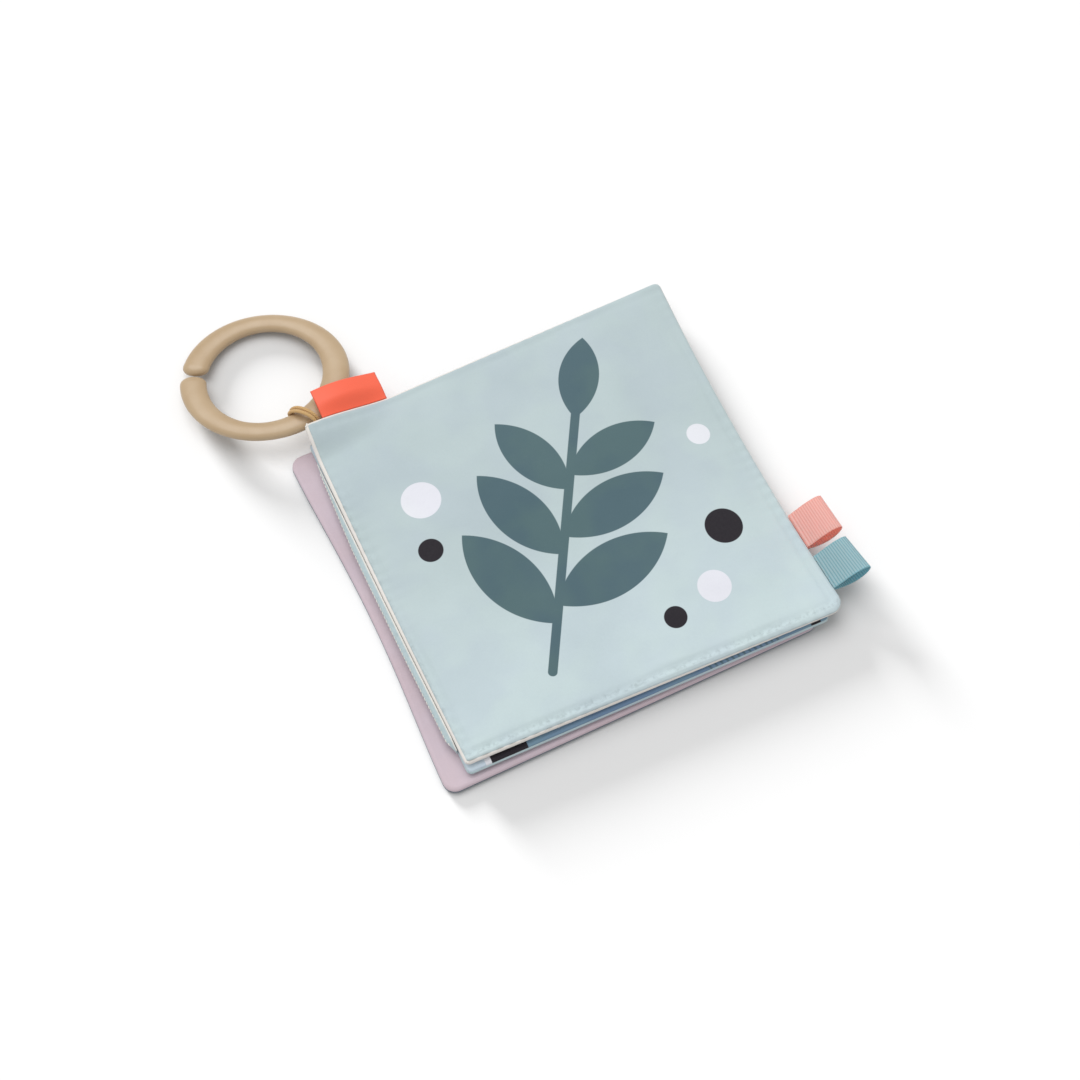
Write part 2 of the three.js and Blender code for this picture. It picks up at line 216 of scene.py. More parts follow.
class Leaf:
    """A leaf's outline in plan, for u and v from -1 to 1, its corners' radius, the
    angles on its rim where its two cloths meet, at its four corners from the top left
    clockwise, and the leaf below it. Its bottom edge rises by slant from left to
    right, and its left edge is drawn in by waist halfway up."""

    def __init__(self, sides, ends, radius, seams, below=None, slant=0.0, waist=0.0):
        self.centre = (sides[0] + sides[1]) / 2, (ends[0] + ends[1]) / 2
        self.half = (sides[1] - sides[0]) / 2, (ends[1] - ends[0]) / 2
        self.corner_radius, self.seams = radius, np.radians(seams)
        self.below, self.slant, self.waist = below, slant, waist

    def seam(self, u, v):
        """The seam's angle, between its values at the corners."""
        top_left, top_right, bottom_right, bottom_left = self.seams
        top = top_left + (top_right - top_left) * (1 + u) / 2
        bottom = bottom_left + (bottom_right - bottom_left) * (1 + u) / 2
        return bottom + (top - bottom) * (1 + v) / 2

    def x(self, u, v):
        drawn = self.waist * np.maximum(0, -u) * (1 - v * v) ** 2
        return self.centre[0] + u * self.half[0] + drawn

    def y(self, u, v):
        return self.centre[1] + v * self.half[1] + self.slant * (1 - v) * (1 + u) / 4

    def radius(self, u, v):
        return self.corner_radius + 0 * u * v

    def fullness(self, x, y):
        """(1 - U^4)(1 - V^4), with U and V the place's shares of the half sizes."""
        one, zero = np.array(1.0), np.array(0.0)
        left, right = self.x(-one, zero), self.x(one, zero)
        bottom, top = self.y(zero, -one), self.y(zero, one)
        u = (2 * x - left - right) / (right - left)
        v = (2 * y - bottom - top) / (top - bottom)
        return (1 - np.minimum(1, u**4)) * (1 - np.minimum(1, v**4))

    def low(self, x, y):
        return self.below.high(x, y) + LAY_GAP if self.below else 0 * x

    def high(self, x, y):
        return self.low(x, y) + LEAF_THICKNESS + LEAF_CROWN * self.fullness(x, y)

    def rim(self, x, y):
        """Height of the rim's middle."""
        return self.low(x, y) + LEAF_THICKNESS / 2


class FrontLeaf(Leaf):
    """The front leaf: x = u (w/2 - |u| draw (1 - v^2)), y = c + v (h/2 + u gather),
    raised by lift (1 - away^2)^2 about its top left corner."""

    def x(self, u, v):
        draw = np.where(u > 0, *FRONT_DRAW)
        return u * (self.half[0] - np.abs(u) * draw * (1 - v * v))

    def y(self, u, v):
        return self.centre[1] + v * (self.half[1] + u * FRONT_GATHER)

    def radius(self, u, v):
        right = np.where(v < 0, *FRONT_RADII)
        return np.where(u > 0, right, self.corner_radius)

    def low(self, x, y):
        corner_x, corner_y = plan(self, -1, 1)
        across, up = (x - corner_x) / CORNER_REACH[0], (y - corner_y) / CORNER_REACH[1]
        away = np.hypot(across, up)
        return super().low(x, y) + CORNER_LIFT * np.maximum(0, 1 - away * away) ** 2


BACK = Leaf((-83.5, 64.5), (-78.3, 67.0), 5.0, (4, 4, 4, 4), None, 1.9, 2.4)
MIDDLE = Leaf((-74.3, 67.5), (-75.3, 68.4), 2.0, (30, 30, 30, 30), BACK, -1.4)
FRONT = FrontLeaf((-74.0, 74.0), (-74.65, 73.15), 1.8, (70, 26, 6, 52), MIDDLE)


def plan(leaf, u, v):
    """Place in plan. Each corner's square turns into a quarter disc: a place (a, b) in
    it goes to max(a, b) away from the square's inner corner, at 45 degrees times the
    share of the lesser in the greater."""
    u, v = np.broadcast_arrays(np.asarray(u, float), np.asarray(v, float))
    side_u, side_v = np.where(u < 0, -1.0, 1.0), np.where(v < 0, -1.0, 1.0)
    x, y, radius = leaf.x(u, v), leaf.y(u, v), leaf.radius(u, v)
    a = np.maximum(0, radius - np.abs(leaf.x(side_u, v) - x))
    b = np.maximum(0, radius - np.abs(leaf.y(u, side_v) - y))
    far = np.maximum(a, b)
    turn = np.pi / 4 * np.minimum(a, b) / np.maximum(far, 1e-9)
    along, across = far * np.cos(turn), far * np.sin(turn)
    x = x - side_u * (a - np.where(a >= b, along, across))
    y = y - side_v * (b - np.where(a >= b, across, along))
    return x, y


# Meshes


def grid_quads(rows, columns, wrap_rows=False, wrap_columns=False):
    """Corner numbers of the quads between neighbouring points of a grid."""
    a = np.arange(rows if wrap_rows else rows - 1)[:, None]
    b = np.arange(columns if wrap_columns else columns - 1)[None, :]
    a2, b2 = (a + 1) % rows, (b + 1) % columns
    corners = [a * columns + b, a * columns + b2, a2 * columns + b2, a2 * columns + b]
    return np.stack(np.broadcast_arrays(*corners), axis=-1).reshape(-1, 4)


def put_mesh(name, points, quads, finish, uv=None):
    """An object at the origin from points in millimetres, its quads, its material and,
    if given, one UV place for each point."""
    points = np.asarray(points, float).reshape(-1, 3)
    quads = np.asarray(quads, int).reshape(-1, 4)
    mesh = bpy.data.meshes.new(name)
    mesh.vertices.add(len(points))
    mesh.vertices.foreach_set("co", (points * MM).astype(np.float32).ravel())
    mesh.loops.add(quads.size)
    mesh.loops.foreach_set("vertex_index", quads.astype(np.int32).ravel())
    mesh.polygons.add(len(quads))
    mesh.polygons.foreach_set("loop_start", np.arange(0, quads.size, 4, dtype=np.int32))
    mesh.polygons.foreach_set("use_smooth", np.ones(len(quads), dtype=bool))
    mesh.update(calc_edges=True)
    if uv is not None:
        layer = mesh.uv_layers.new(name="cloth")
        places = np.asarray(uv, float).reshape(-1, 2)[quads.ravel()]
        layer.data.foreach_set("uv", places.astype(np.float32).ravel())
    mesh.validate()
    mesh.materials.append(finish)
    obj = bpy.data.objects.new(name, mesh)
    bpy.context.scene.collection.objects.link(obj)
    return obj


def wall(obj, thickness_mm, offset=-1.0):
    """Gives a sheet its thickness on its inner side."""
    solidify = obj.modifiers.new("wall", "SOLIDIFY")
    solidify.thickness = thickness_mm * MM
    solidify.offset = offset
    solidify.use_even_offset = False


def thinned(obj, corners, share=0.1):
    """Makes the wall thin at the points given, where the rims of two sides meet and
    the faces are too small to give the wall a direction."""
    group = obj.vertex_groups.new(name="wall")
    group.add(np.flatnonzero(~corners.ravel()).tolist(), 1.0, "REPLACE")
    group.add(np.flatnonzero(corners.ravel()).tolist(), share, "REPLACE")
    obj.modifiers["wall"].vertex_group = "wall"
    return obj


def weld(obj, distance_mm=0.002):
    """Joins points that lie on one another and turns the faces outwards."""
    work = bmesh.new()
    work.from_mesh(obj.data)
    bmesh.ops.remove_doubles(work, verts=work.verts, dist=distance_mm * MM)
    bmesh.ops.dissolve_degenerate(work, edges=work.edges, dist=1e-7)
    bmesh.ops.recalc_face_normals(work, faces=work.faces)
    work.to_mesh(obj.data)
    work.free()


def swept(route, across, radius, sides):
    """A round tube along a closed route: each ring of points is
    route + radius (cos a n + sin a b), with b = ahead x across and n = b x ahead."""
    route = np.asarray(route, float)
    ahead = np.roll(route, -1, axis=0) - np.roll(route, 1, axis=0)
    ahead /= np.linalg.norm(ahead, axis=1, keepdims=True)
    across = np.broadcast_to(np.asarray(across, float), route.shape)
    b = np.cross(ahead, across)
    b /= np.linalg.norm(b, axis=1, keepdims=True)
    n = np.cross(b, ahead)
    angle = np.arange(sides) * 2 * np.pi / sides
    cos, sin = np.cos(angle)[:, None], np.sin(angle)[:, None]
    return route[:, None] + radius * (cos * n[:, None] + sin * b[:, None])


# Leaf surfaces


def rim_side(seam, step, width):
    """Rim lines from one edge inwards, for step from 0 to 1. The rim's profile is a
    quarter round and more, from the seam's angle to the top:
    inset = R (1 - cos a) + groove, height share = sin a."""
    angle = seam + (np.pi / 2 - seam) * step
    groove = GROOVE * np.exp(-(((angle - seam) / GROOVE_WIDTH) ** 2))
    inset = RIM * (1 - np.cos(angle)) + groove
    return 2 * inset / width, np.sin(angle)


def leaf_lines(width):
    """Grid lines across a leaf: each line's place from -1 to 1, and its step across the
    rim from 0 at the edge to 1, which is 1 on the panel too. Lines of a rim all have
    their edge as their place."""
    count = int(round((width - 2 * RIM) / CELL))
    panel = 1 - 2 * RIM / width
    inner = np.linspace(-panel, panel, count + 1)[1:-1]
    step = np.linspace(0, 1, RIM_LINES)
    rim = np.ones(RIM_LINES)
    places = np.concatenate([-rim, inner, rim])
    steps = np.concatenate([step, np.ones(len(inner)), step[::-1]])
    return places, steps


def rim_places(place, step, seam, width):
    """Places and height shares of the grid's points: lines of the rims stand at their
    inset from the edge, lines of the panel where they are."""
    share, height = rim_side(seam, step, width)
    on_rim = np.abs(place) == 1
    place = np.where(on_rim, np.sign(place) * (1 - share), place)
    return place, np.where(on_rim, height, 1.0)


def puckers(leaf, u, v, height, phase):
    """Small tucks that the seam draws into the cloth: waves along each edge that die
    away inwards as exp(-distance / reach)."""
    total = 0.0
    for side, (edge, along, half) in enumerate(
        [(1 + u, v, 0), (1 - u, v, 0), (1 + v, u, 1), (1 - v, u, 1)]
    ):
        distance = np.maximum(0, edge * leaf.half[half] - RIM)
        run = along * leaf.half[1 - half]
        beat = np.sin(run / 11 + side + phase) + 0.5 * np.sin(run / 5.3 + 2 * side)
        wave = np.sin(2 * np.pi * run / TUCK_LENGTH + 1.3 * beat + 1.7 * side + phase)
        strength = 0.55 + 0.45 * np.sin(run / 17 + 2.1 * side + phase)
        total = total + wave * strength * np.exp(-distance / TUCK_REACH)
    return height * total


def ripples(x, y, height, phase):
    """Soft uneven folds of the filled cloth: a sum of long waves across one another."""
    a = np.sin(x / 21 + 0.6 * np.sin(y / 17 + phase) + phase)
    b = np.sin((x + 1.7 * y) / 34 + 1.1 * phase)
    b = b * np.sin((y - 0.4 * x) / 26 + 2 + phase)
    c = np.sin((1.3 * x - y) / 13 + 0.8 * np.sin(x / 23) + 2.3 * phase)
    return height * (0.45 * a + 0.55 * b + 0.22 * c)


def edge_distance(leaf, u, v):
    """Distance in millimetres to the leaf's nearest edge, and the place along it."""
    from_side = (1 - np.abs(u)) * leaf.half[0]
    from_end = (1 - np.abs(v)) * leaf.half[1]
    along = np.where(from_side < from_end, v * leaf.half[1], u * leaf.half[0])
    return np.minimum(from_side, from_end), along


def seam_crease(leaf, u, v, depth):
    """The line where the seam allowance ends: a shallow valley that wanders a little
    along the edge, -depth exp(-((t - inset) / width)^2), and a low roll outside it."""
    distance, along = edge_distance(leaf, u, v)
    inset = CREASE_INSET + 0.25 * np.sin(along / 9.5 + 1) + 0.12 * np.sin(along / 3.1)
    strength = 0.7 + 0.3 * np.sin(along / 23 + 2) * np.sin(along / 7.7)
    strength = strength * (1.2 - 0.5 * v)
    valley = np.exp(-(((distance - inset) / CREASE_WIDTH) ** 2))
    roll = np.exp(-(((distance - inset + 1.7) / 0.8) ** 2))
    return depth * strength * (0.35 * roll - valley)


def leaf_cloth(name, leaf, upper, finish, slot, heights, phase, thickness):
    """One cloth of a leaf: its crowned panel and its share of the rounded rim. The
    height is mid + (panel - mid) h, with h the rim profile's share of its full height,
    and ripples, tucks and the crease, of the heights given, are added where the panel
    is full."""
    ripple, tuck, crease = heights
    lines_u, steps_u = leaf_lines(2 * leaf.half[0])
    lines_v, steps_v = leaf_lines(2 * leaf.half[1])
    place_u, place_v = np.meshgrid(lines_u, lines_v, indexing="ij")
    step_u, step_v = np.meshgrid(steps_u, steps_v, indexing="ij")
    sign = 1 if upper else -1
    seam = sign * leaf.seam(place_u, place_v)
    u, share_u = rim_places(place_u, step_u, seam, 2 * leaf.half[0])
    v, share_v = rim_places(place_v, step_v, seam, 2 * leaf.half[1])
    h = np.minimum(share_u, share_v)
    x, y = plan(leaf, u, v)
    mid = leaf.rim(x, y)
    panel = leaf.high(x, y) if upper else leaf.low(x, y)
    relief = puckers(leaf, u, v, tuck, phase)
    relief = relief + ripples(x, y, ripple, phase) * leaf.fullness(x, y)
    relief = relief + seam_crease(leaf, u, v, crease)
    z = mid + h * (panel - mid) + sign * np.clip(h, 0, 1) * relief
    if leaf is BACK and not upper:
        z = np.maximum(z, 0)
    quads = grid_quads(*x.shape)[:, ::-sign]
    obj = put_mesh(name, np.stack([x, y, z], axis=-1), quads, finish)
    wall(obj, thickness)
    return thinned(obj, (step_u < 0.5) & (step_v < 0.5))


def wadding_pad(name, leaf, room, finish, phase):
    """A filling: a closed crowned pad with a round edge, whose upper and lower faces
    share their outline. Half its height is w sin a at e (1 - cos a) from its edge."""
    angle = np.linspace(0, np.pi / 2, PAD_EDGE_LINES)[:-1]
    edge, ramp = np.sin(angle), PAD_EDGE * (1 - np.cos(angle))
    inner = np.linspace(PAD_EDGE - 1, 1 - PAD_EDGE, PAD_LINES)
    lines = np.concatenate([ramp - 1, inner, (1 - ramp)[::-1]])
    share = np.concatenate([edge, np.ones(len(inner)), edge[::-1]])
    u, v = np.meshgrid(lines, lines, indexing="ij")
    share_u, share_v = np.meshgrid(share, share, indexing="ij")
    x, y = plan(leaf, u * PAD_REACH, v * PAD_REACH)
    h = np.maximum(0, 1 - np.hypot(1 - share_u, 1 - share_v))
    bottom, top = leaf.low(x, y) + PAD_INSET, leaf.high(x, y) - PAD_INSET - room
    tufts = 0.05 * np.sin(x / 3.1 + phase) * np.sin(y / 2.7 - phase)
    mid, half = (bottom + top) / 2, h * ((top - bottom) / 2 + tufts)
    points = np.stack([[x, y, mid + half], [x, y, mid - half]])
    count = len(lines)
    numbers = np.arange(count * count).reshape(count, count)
    lower = numbers + count * count
    for line in (0, -1):
        lower[line, :] = numbers[line, :]
        lower[:, line] = numbers[:, line]
    quads = grid_quads(count, count)
    quads = np.concatenate([quads[:, ::-1], lower.ravel()[quads]])
    used, quads = np.unique(quads, return_inverse=True)
    points = np.moveaxis(points, 1, -1).reshape(-1, 3)[used]
    obj = put_mesh(name, points, quads, finish)
    return obj


def crinkle_sheet(name, leaf, finish, phase):
    """A thin film with sharp random creases: the sum of |sin| ridges in several
    directions, which is flat between its folds."""
    reach = FILM_REACH
    lines = np.linspace(-reach, reach, FILM_LINES)
    u, v = np.meshgrid(lines, lines, indexing="ij")
    x, y = plan(leaf, u, v)
    crease = 0.0
    for turn, pitch in FILM_FOLDS:
        run = x * math.cos(turn + phase) + y * math.sin(turn + phase)
        crease = crease + np.abs(np.sin(run / pitch + 0.8 * np.sin(y / 19 + turn)))
    z = leaf.high(x, y) - FILM_DEPTH + 0.09 * (crease - 2.5)
    points = np.stack([x, y, z], axis=-1)
    obj = put_mesh(name, points, grid_quads(*x.shape)[:, ::-1], finish)
    wall(obj, FILM_WALL, offset=0.0)
    return obj


def seam_route(leaf, pitch):
    """The seam's line round inside the rim, with the thread's ups and downs: it dips
    through the cloths once in every stitch."""
    turn = (np.arange(SEAM_POINTS) + 0.5) / SEAM_POINTS * 8
    side = np.floor(turn / 2).astype(int)
    along = turn % 2 - 1
    one = np.ones_like(along)
    u = np.choose(side, [one, -along, -one, along])
    v = np.choose(side, [along, one, -along, -one])
    x, y = plan(leaf, SEAM_REACH * u, SEAM_REACH * v)
    steps = np.hypot(np.diff(x, append=x[:1]), np.diff(y, append=y[:1]))
    run = np.cumsum(steps)
    z = leaf.low(x, y) + SEAM_HEIGHT + 0.1 * np.sin(2 * np.pi * run / pitch)
    return np.stack([x, y, z], axis=-1)


# Materials


def ink(red, green, blue):
    """A colour written as screen values from 0 to 255, as the linear one."""
    value = np.array([red, green, blue]) / 255
    linear = np.where(value <= 0.04045, value / 12.92, ((value + 0.055) / 1.055) ** 2.4)
    return tuple(linear.tolist())


def tint(colour, share):
    return tuple(share * c for c in colour)


class Nodes:
    """A node tree being filled. Its methods add nodes and give back their outputs."""

    def __init__(self, tree):
        self.tree = tree

    def node(self, kind, *values, **settings):
        made = self.tree.nodes.new(kind)
        for key, value in settings.items():
            setattr(made, key, value)
        for socket, value in zip(made.inputs, values):
            self.plug(socket, value)
        return made

    def plug(self, socket, value):
        """Links an output to a socket, or sets its value. A colour may leave out its
        opacity."""
        if isinstance(value, bpy.types.NodeSocket):
            self.tree.links.new(value, socket)
        elif value is not None:
            opaque = socket.type == "RGBA" and len(value) == 3
            socket.default_value = (*value, 1) if opaque else value

    def math(self, operation, *values, clamp=False):
        made = self.node("ShaderNodeMath", *values, operation=operation, use_clamp=clamp)
        return made.outputs[0]

    plus = partialmethod(math, "ADD")
    minus = partialmethod(math, "SUBTRACT")
    times = partialmethod(math, "MULTIPLY")
    times_plus = partialmethod(math, "MULTIPLY_ADD")

    def ramp(self, value, low, high, first=0.0, second=1.0):
        return self.node("ShaderNodeMapRange", value, low, high, first, second).outputs[0]


class Finish(Nodes):
    """A material being made, around its Principled shader."""

    def __init__(self, name, **sockets):
        self.material = bpy.data.materials.new(name)
        self.material.use_nodes = True
        super().__init__(self.material.node_tree)
        self.shader = self.found("BSDF_PRINCIPLED")
        for socket, value in sockets.items():
            self.shader.inputs[socket.replace("_", " ")].default_value = value
        self.place = self.node("ShaderNodeTexCoord").outputs["Object"]
        self.mm = self.vector("MULTIPLY", self.place, (1000, 1000, 1000))
        self.flat = self.vector("MULTIPLY", self.place, (1000, 1000, 0))

    def found(self, kind):
        return next(n for n in self.tree.nodes if n.type == kind)

    def vector(self, operation, *values):
        made = self.node("ShaderNodeVectorMath", *values, operation=operation)
        return made.outputs["Value" if operation in ("LENGTH", "DISTANCE") else "Vector"]

    def parts(self, vector):
        return self.node("ShaderNodeSeparateXYZ", vector).outputs

    def cloth_uv(self):
        return self.node("ShaderNodeUVMap", uv_map="cloth").outputs[0]

    def mix(self, share, first, second):
        values = [share, *[None] * 5, first, second]
        return self.node("ShaderNodeMix", *values, data_type="RGBA").outputs[2]

    def toned(self, colour, hue, saturation, value):
        values = hue, saturation, value, 1.0, colour
        return self.node("ShaderNodeHueSaturation", *values).outputs[0]

    def noise(self, vector, scale, detail=3.0, roughness=0.55):
        values = vector, None, scale, detail, roughness
        return self.node("ShaderNodeTexNoise", *values).outputs[0]

    def sine(self, value, pitch):
        return self.math("SINE", self.times(value, math.pi / pitch))

    def ridges(self, value, pitch):
        """Height of round ridges, one in each pitch."""
        return self.math("ABSOLUTE", self.sine(value, pitch))

    def stripes(self, value, step, half_width):
        """1 about each even multiple of a step, and 0 elsewhere."""
        return self.math("LESS_THAN", self.math("PINGPONG", value, step), half_width)

    def shown(self, distance, soft=0.12):
        """1 inside a shape and 0 outside, from its signed distance."""
        return self.ramp(distance, soft, -soft)

    def disc(self, x, y, radius):
        return self.minus(self.vector("DISTANCE", self.flat, (x, y, 0)), radius)

    def turned(self, x, y, angle):
        """Absolute coordinates about a place, turned by an angle."""
        made = self.node("ShaderNodeMapping", self.flat, vector_type="TEXTURE")
        made.inputs["Location"].default_value = (x, y, 0)
        made.inputs["Rotation"].default_value = (0, 0, angle)
        return self.vector("ABSOLUTE", made.outputs[0])

    def bar(self, x, y, angle, half_long, half_wide, corner):
        """Signed distance from a straight bar with round corners."""
        half = half_long, half_wide, 0
        local = self.vector("SUBTRACT", self.turned(x, y, angle), half)
        beyond = self.vector("MAXIMUM", local, (0, 0, 0))
        return self.minus(self.vector("LENGTH", beyond), corner)

    def within(self, half_x, half_y, x=0.0, y=0.0):
        """1 inside a box in plan and 0 outside."""
        return self.shown(self.bar(x, y, 0, half_x, half_y, 0.3))

    def blade(self, x, y, angle, half_long, half_wide):
        """Signed distance from a pointed leaf shape, the overlap of two circles."""
        radius = (half_long**2 + half_wide**2) / (2 * half_wide)
        local = self.vector("ADD", self.turned(x, y, angle), (0, radius - half_wide, 0))
        return self.minus(self.vector("LENGTH", local), radius)

    def weave(self, pitch):
        """Height of a plain weave: threads along x show where sin kx sin ky > 0 and
        threads along y elsewhere."""
        x, y, _ = self.parts(self.mm)
        sx, sy = self.sine(x, pitch), self.sine(y, pitch)
        over = self.math("MULTIPLY_ADD", self.times(sx, sy), 3.0, 0.5, clamp=True)
        first, second = self.math("ABSOLUTE", sx), self.math("ABSOLUTE", sy)
        return self.node("ShaderNodeMix", over, None, second, first).outputs[0]

    def bump(self, height, distance_mm, strength=1.0, under=None):
        made = self.node("ShaderNodeBump", strength, distance_mm * MM)
        self.plug(made.inputs["Height"], height)
        self.plug(made.inputs["Normal"], under)
        return made.outputs[0]

    def done(self, colour, normal=None, roughness=None):
        self.plug(self.shader.inputs["Base Color"], colour)
        self.plug(self.shader.inputs["Normal"], normal)
        self.plug(self.shader.inputs["Roughness"], roughness)
        return self.material


def cloth_finish(name, print_of, colours, pitch):
    """Woven printed cloth: its print, uneven dye, faint slubs, the weave's threads
    and soft fuzz, over small creases."""
    f = Finish(name, Sheen_Weight=0.25, Sheen_Roughness=0.45, Specular_IOR_Level=0.3)
    colour = print_of(f, colours)
    broad = f.noise(f.mm, 0.035, 2.0)
    patches = f.noise(f.vector("ADD", f.mm, (31.0, 17.0, 5.0)), 0.045, 2.0)
    fine = f.noise(f.mm, 1.3, 4.0, 0.65)
    slub = f.noise(f.vector("MULTIPLY", f.mm, (0.25, 3.0, 0.25)), 1.0, 2.0)
    weave = f.weave(pitch)
    dark = f.toned(colour, 0.5, 1.04, 0.93)
    shade = f.times_plus(broad, 0.9, f.times(fine, 0.35))
    colour = f.mix(f.ramp(shade, 0.75, 0.4), colour, dark)
    bluer = f.toned(colour, 0.525, 1.12, 0.99)
    colour = f.mix(f.ramp(patches, 0.42, 0.6), colour, bluer)
    thread = f.times_plus(slub, 0.5, f.times(weave, 0.5))
    colour = f.mix(f.ramp(thread, 0.25, 0.85, 0.16, 0.0), colour, dark)
    creases = f.bump(f.noise(f.mm, 0.16, 3.0, 0.6), 0.35, 0.5)
    threads = f.bump(f.times_plus(fine, 0.5, weave), 0.05, 0.5, creases)
    return f.done(colour, threads, f.ramp(fine, 0.3, 0.7, 0.68, 0.82))


def crease_shade(f):
    """Painted shade in the front leaf's left and bottom crease, in soft darker patches:
    a share from 0 by the distance to the outline and a noise."""
    x, y, _ = f.parts(f.mm)
    to_left = f.plus(x, FRONT.half[0] + CREASE_SHADE_OUT)
    bottom = FRONT.centre[1] - FRONT.half[1]
    to_bottom = f.minus(f.times_plus(x, FRONT_GATHER / FRONT.half[0], y), bottom)
    nearest = f.math("MINIMUM", to_left, to_bottom)
    wander = f.times_plus(f.noise(f.mm, 0.25, 2.0), 1.6, CREASE_INSET - 1.4)
    off_line = f.math("ABSOLUTE", f.minus(nearest, wander))
    shade_patches = f.ramp(f.noise(f.mm, 0.6, 3.0, 0.6), 0.44, 0.66)
    return f.times(f.ramp(off_line, 1.8, 0.2, 0.0, 0.36), shade_patches)


def cover_print(f, colours):
    """A sprig of seven pointed leaves with loose round berries, on a ground with painted
    light and shade, lighter towards the bottom and darker towards the top, and painted
    shade along its crease.
    """
    stem = np.array([math.cos(SPRIG_LEAN), math.sin(SPRIG_LEAN)])
    sprig = f.bar(*SPRIG_PLACE, SPRIG_LEAN, *SPRIG_STEM)
    for along, side, length in SPRIG_LEAVES:
        turn = SPRIG_LEAN + side * SPRIG_SPREAD
        way = np.array([math.cos(turn), math.sin(turn)])
        centre = SPRIG_PLACE + along * stem + way * length * 0.97
        sprig = f.math("MINIMUM", sprig, f.blade(*centre, turn, length, 0.42 * length))
    ground = tuple(colours.cover_ground)
    shaded_ground = tint(ground, 0.93)
    _, y, _ = f.parts(f.mm)
    # Painted light and shade: the ground is lighter towards the bottom and darker towards
    # the top.
    colour = f.mix(f.ramp(y, -66.0, 6.0), tint(ground, 1.09), shaded_ground)
    colour = f.mix(f.shown(sprig), colour, colours.cover_print)
    # Painted shade along the crease inside the cover's rim.
    colour = f.mix(crease_shade(f), colour, tint(shaded_ground, 0.5))
    for disc in BLACK_DISCS:
        colour = f.mix(f.shown(f.disc(*disc)), colour, colours.print_black)
    for disc in WHITE_DISCS:
        colour = f.mix(f.shown(f.disc(*disc)), colour, colours.print_white)
    return colour


def gingham(f, colours):
    """Cream cloth with woven pale bands both ways, plain along its edges."""
    x, y, _ = f.parts(f.mm)
    bands = [f.math("GREATER_THAN", f.math("PINGPONG", k, 11.0), 5.5) for k in (x, y)]
    share = f.times(f.times(f.plus(*bands), 0.36), f.within(62, 62))
    return f.mix(share, colours.cream, colours.cover_ground)


def bars_print(f, colours):
    """Blue cloth with a pale strip of short black bars at one side and one black bar
    at the other, and a short row of thin dark lines along the bottom edge."""
    x, y, _ = f.parts(f.mm)
    bars = f.stripes(f.plus(y, 74.0), 8.0, 4.2)
    lines = f.stripes(f.times_plus(y, 0.5, x), 1.1, 0.42)
    lines = f.times(lines, f.within(14, 6, 33, -72))
    colour = colours.middle_blue
    for share, tone in (
        (f.within(10, 100, -69.0), colours.bar_ground),
        (f.times(bars, f.within(6.9, 100, -58.3)), colours.print_black),
        (f.within(0.8, 100, -66.1), colours.print_white),
        (f.times(lines, 0.7), colours.cover_print),
        (f.within(1.6, 12, 62.0, -74), colours.print_black),
    ):
        colour = f.mix(share, colour, tone)
    return colour


def waves_print(f, colours):
    """Pale cloth with thin white wave lines, plain along its edges."""
    x, y, _ = f.parts(f.mm)
    sway = f.times(f.math("SINE", f.times(x, 0.22)), 2.4)
    line = f.times(f.stripes(f.plus(y, sway), 7.0, 0.8), f.within(60, 60))
    return f.mix(line, colours.middle_pale, colours.print_white)


def dots(f, pitch, radius, area, ground, tone):
    """Round dots in rows, each row half a step aside from the next."""
    x, y, _ = f.parts(f.mm)
    row = f.math("DIVIDE", y, pitch)
    aside = f.times(f.math("FLOOR", row), pitch)
    across = f.math("PINGPONG", f.plus(x, aside), pitch)
    down = f.times(f.minus(f.math("FRACT", row), 0.5), pitch)
    place = f.node("ShaderNodeCombineXYZ", across, down, 0.0).outputs[0]
    mask = f.shown(f.minus(f.vector("LENGTH", place), radius))
    return f.mix(f.times(mask, f.within(*area)), ground, tone)


def large_dots(f, colours):
    area = 45, 42, -12, -1
    return dots(f, 22.0, 5.4, area, colours.back_pink, colours.print_white)


def small_dots(f, colours):
    area = 58.5, 58.5, -9, -4.5
    return dots(f, 9.0, 1.5, area, colours.back_grey, colours.middle_pale)


def thread_finish(name, colour, pitch):
    """Twisted sewing thread: plies across it, with painted shade between them, and fine
    fibres.
    """
    f = Finish(name, Sheen_Weight=0.3, Roughness=0.6)
    x, y, z = f.parts(f.mm)
    ply = f.ridges(f.plus(f.plus(x, y), z), pitch)
    # Painted shade: darker between the plies, where their bump is low, with a random
    # noise.
    shade = f.times_plus(ply, 0.7, f.times(f.noise(f.mm, 6.0, 2.0), 0.4))
    tone = f.mix(f.ramp(shade, 0.1, 0.8), tint(colour, 0.6), colour)
    return f.done(tone, f.bump(ply, 0.05, 0.8))


def tape_finish(name, colour, edge, pitch):
    """Folded cotton tape with a twill's slanting lines and a narrow upper edge in
    another colour. v runs across it, from -2 to 2."""
    f = Finish(name, Sheen_Weight=0.2, Roughness=0.8)
    x, y, z = f.parts(f.mm)
    _, across, _ = f.parts(f.cloth_uv())
    twill = f.ridges(f.plus(y, f.plus(x, z)), pitch)
    tone = f.mix(f.ramp(across, 1.7, 1.95), colour, edge)
    shade = f.times_plus(twill, 0.4, f.times(f.noise(f.mm, 0.5, 3.0), 0.8))
    tone = f.mix(f.ramp(shade, 0.2, 0.7), f.toned(tone, 0.5, 1.1, 0.7), tone)
    return f.done(tone, f.bump(twill, 0.06, 0.6))


